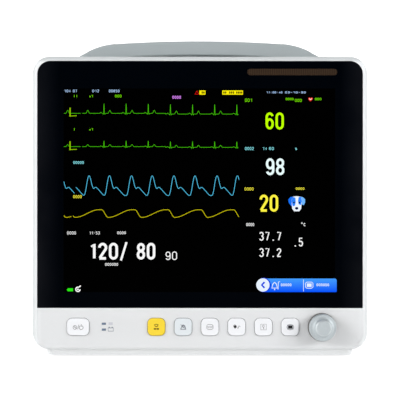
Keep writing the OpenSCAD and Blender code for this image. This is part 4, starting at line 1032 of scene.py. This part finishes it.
stud_low, stud_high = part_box("earth_stud")
stud_middle = node_middle("earth_stud")
stud_long = stud_high.y - stud_low.y
stud_radius, thread_pitch, thread_deep = 0.003, 0.001, 0.0003
plain_end, end_ease, end_cut = 0.0015, 0.0004, 0.0009
nut_radius, nut_seat, nut_front, nut_ease = 0.006, 0.002, 0.005, 0.0004
thread = [(stud_radius, 0), (stud_radius, nut_front)]
rise = nut_front
while rise < stud_long - plain_end:
    thread += [(stud_radius - thread_deep, rise + thread_pitch / 2), (stud_radius, rise + thread_pitch)]
    rise += thread_pitch
thread += [(stud_radius - thread_deep, stud_long - end_ease), (stud_radius - end_cut, stud_long)]
towards_back = (Matrix.Translation((stud_middle.x, stud_low.y, stud_middle.z))
                @ Matrix.Rotation(math.radians(-90), 4, "X"))
stud = turned("earth_thread", thread, [towards_back], brass, "monitor", sides=32)
nut_profile = [(nut_radius - nut_ease, nut_seat), (nut_radius, nut_seat + nut_ease),
               (nut_radius, nut_front - nut_ease), (nut_radius - nut_ease, nut_front)]
nut = turned("earth_nut", nut_profile, [towards_back], brass, "monitor", sides=6)
for face in nut.data.polygons:
    face.use_smooth = False
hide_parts("earth_stud")
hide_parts("earth_stud")


# The studio: one sheet of white paper that runs along the floor and curves up behind the monitor.
# Soft lamps stand at both sides, so that the glass in front mirrors only the dim room.
# A weak third lamp high above the paper's curve keeps the back from going dull.
studio_paper, tree, shader = start_material("studio_paper")
tree.nodes.remove(tree.nodes["Principled BSDF"])
fibre = noise(tree, here(tree), scale=40.0)
paper_tone = share_of(tree, fibre, 0.0, 1.0, start=0.9, end=0.92)
matt = place(tree, "ShaderNodeBsdfDiffuse", {"Color": paper_tone}).outputs[0]
soft_matt = place(tree, "ShaderNodeBsdfDiffuse", {"Color": (0.42, 0.42, 0.42, 1)}).outputs[0]
glow = place(tree, "ShaderNodeEmission", {"Color": (1, 1, 1, 1), "Strength": 0.85}).outputs[0]
seen = place(tree, "ShaderNodeAddShader", {0: soft_matt, 1: glow}).outputs[0]
ray = place(tree, "ShaderNodeLightPath").outputs
mirrored = reckon(tree, "MAXIMUM", ray["Is Camera Ray"], ray["Is Glossy Ray"])
looked_at = reckon(tree, "MAXIMUM", mirrored, ray["Is Transmission Ray"])
both_ways = place(tree, "ShaderNodeMixShader", {0: looked_at, 1: matt, 2: seen}).outputs[0]
feed(tree, tree.nodes["Material Output"].inputs, {"Surface": both_ways})

paper_half, paper_front, paper_wall, paper_curve, paper_high = 5.0, -4.0, 2.2, 1.0, 4.0
curve_steps = 16
bend = paper_wall - paper_curve
turns = [math.pi / 2 * i / curve_steps for i in range(1, curve_steps + 1)]
profile = [(paper_front, 0.0), (bend, 0.0)]
profile += [(bend + paper_curve * math.sin(t), paper_curve - paper_curve * math.cos(t)) for t in turns]
profile.append((paper_wall, paper_high))
paper = mesh_piece(
    "studio_paper",
    [(side * paper_half, y, z) for y, z in profile for side in (-1, 1)],
    [[2 * i, 2 * i + 1, 2 * i + 3, 2 * i + 2] for i in range(len(profile) - 1)],
    studio_paper)
for face in paper.data.polygons:
    face.use_smooth = True

wall_light, ceiling_light = 0.62, 0.05
dusk_between = (0.1, 0.6)
room = bpy.data.worlds.new("room")
room.use_nodes = True
tree = room.node_tree
upward = axes(tree, place(tree, "ShaderNodeTexCoord").outputs["Generated"])["Z"]
feed(tree, tree.nodes["Background"].inputs, {
    "Color": (0.98, 0.99, 1, 1),
    "Strength": share_of(tree, upward, *dusk_between, start=wall_light, end=ceiling_light),
})
bpy.context.scene.world = room
lamps_aim = Vector((0, 0, 0.14))
for name, stands, size, power in (
        ("left_lamp", (-2.3, -1.3, 1.05), 1.4, 51),
        ("right_lamp", (2.3, -1.3, 1.05), 1.4, 49.5),
        ("back_lamp", (0, 1.9, 1.5), 1.0, 9)):
    lamp = bpy.data.objects.new(name, bpy.data.lights.new(name, "AREA"))
    lamp.data.size = size
    lamp.data.energy = power
    lamp.location = stands
    lamp.rotation_euler = (lamps_aim - Vector(stands)).to_track_quat("-Z", "Y").to_euler()
    bpy.context.scene.collection.objects.link(lamp)
bpy.context.scene.view_settings.view_transform = "Standard"
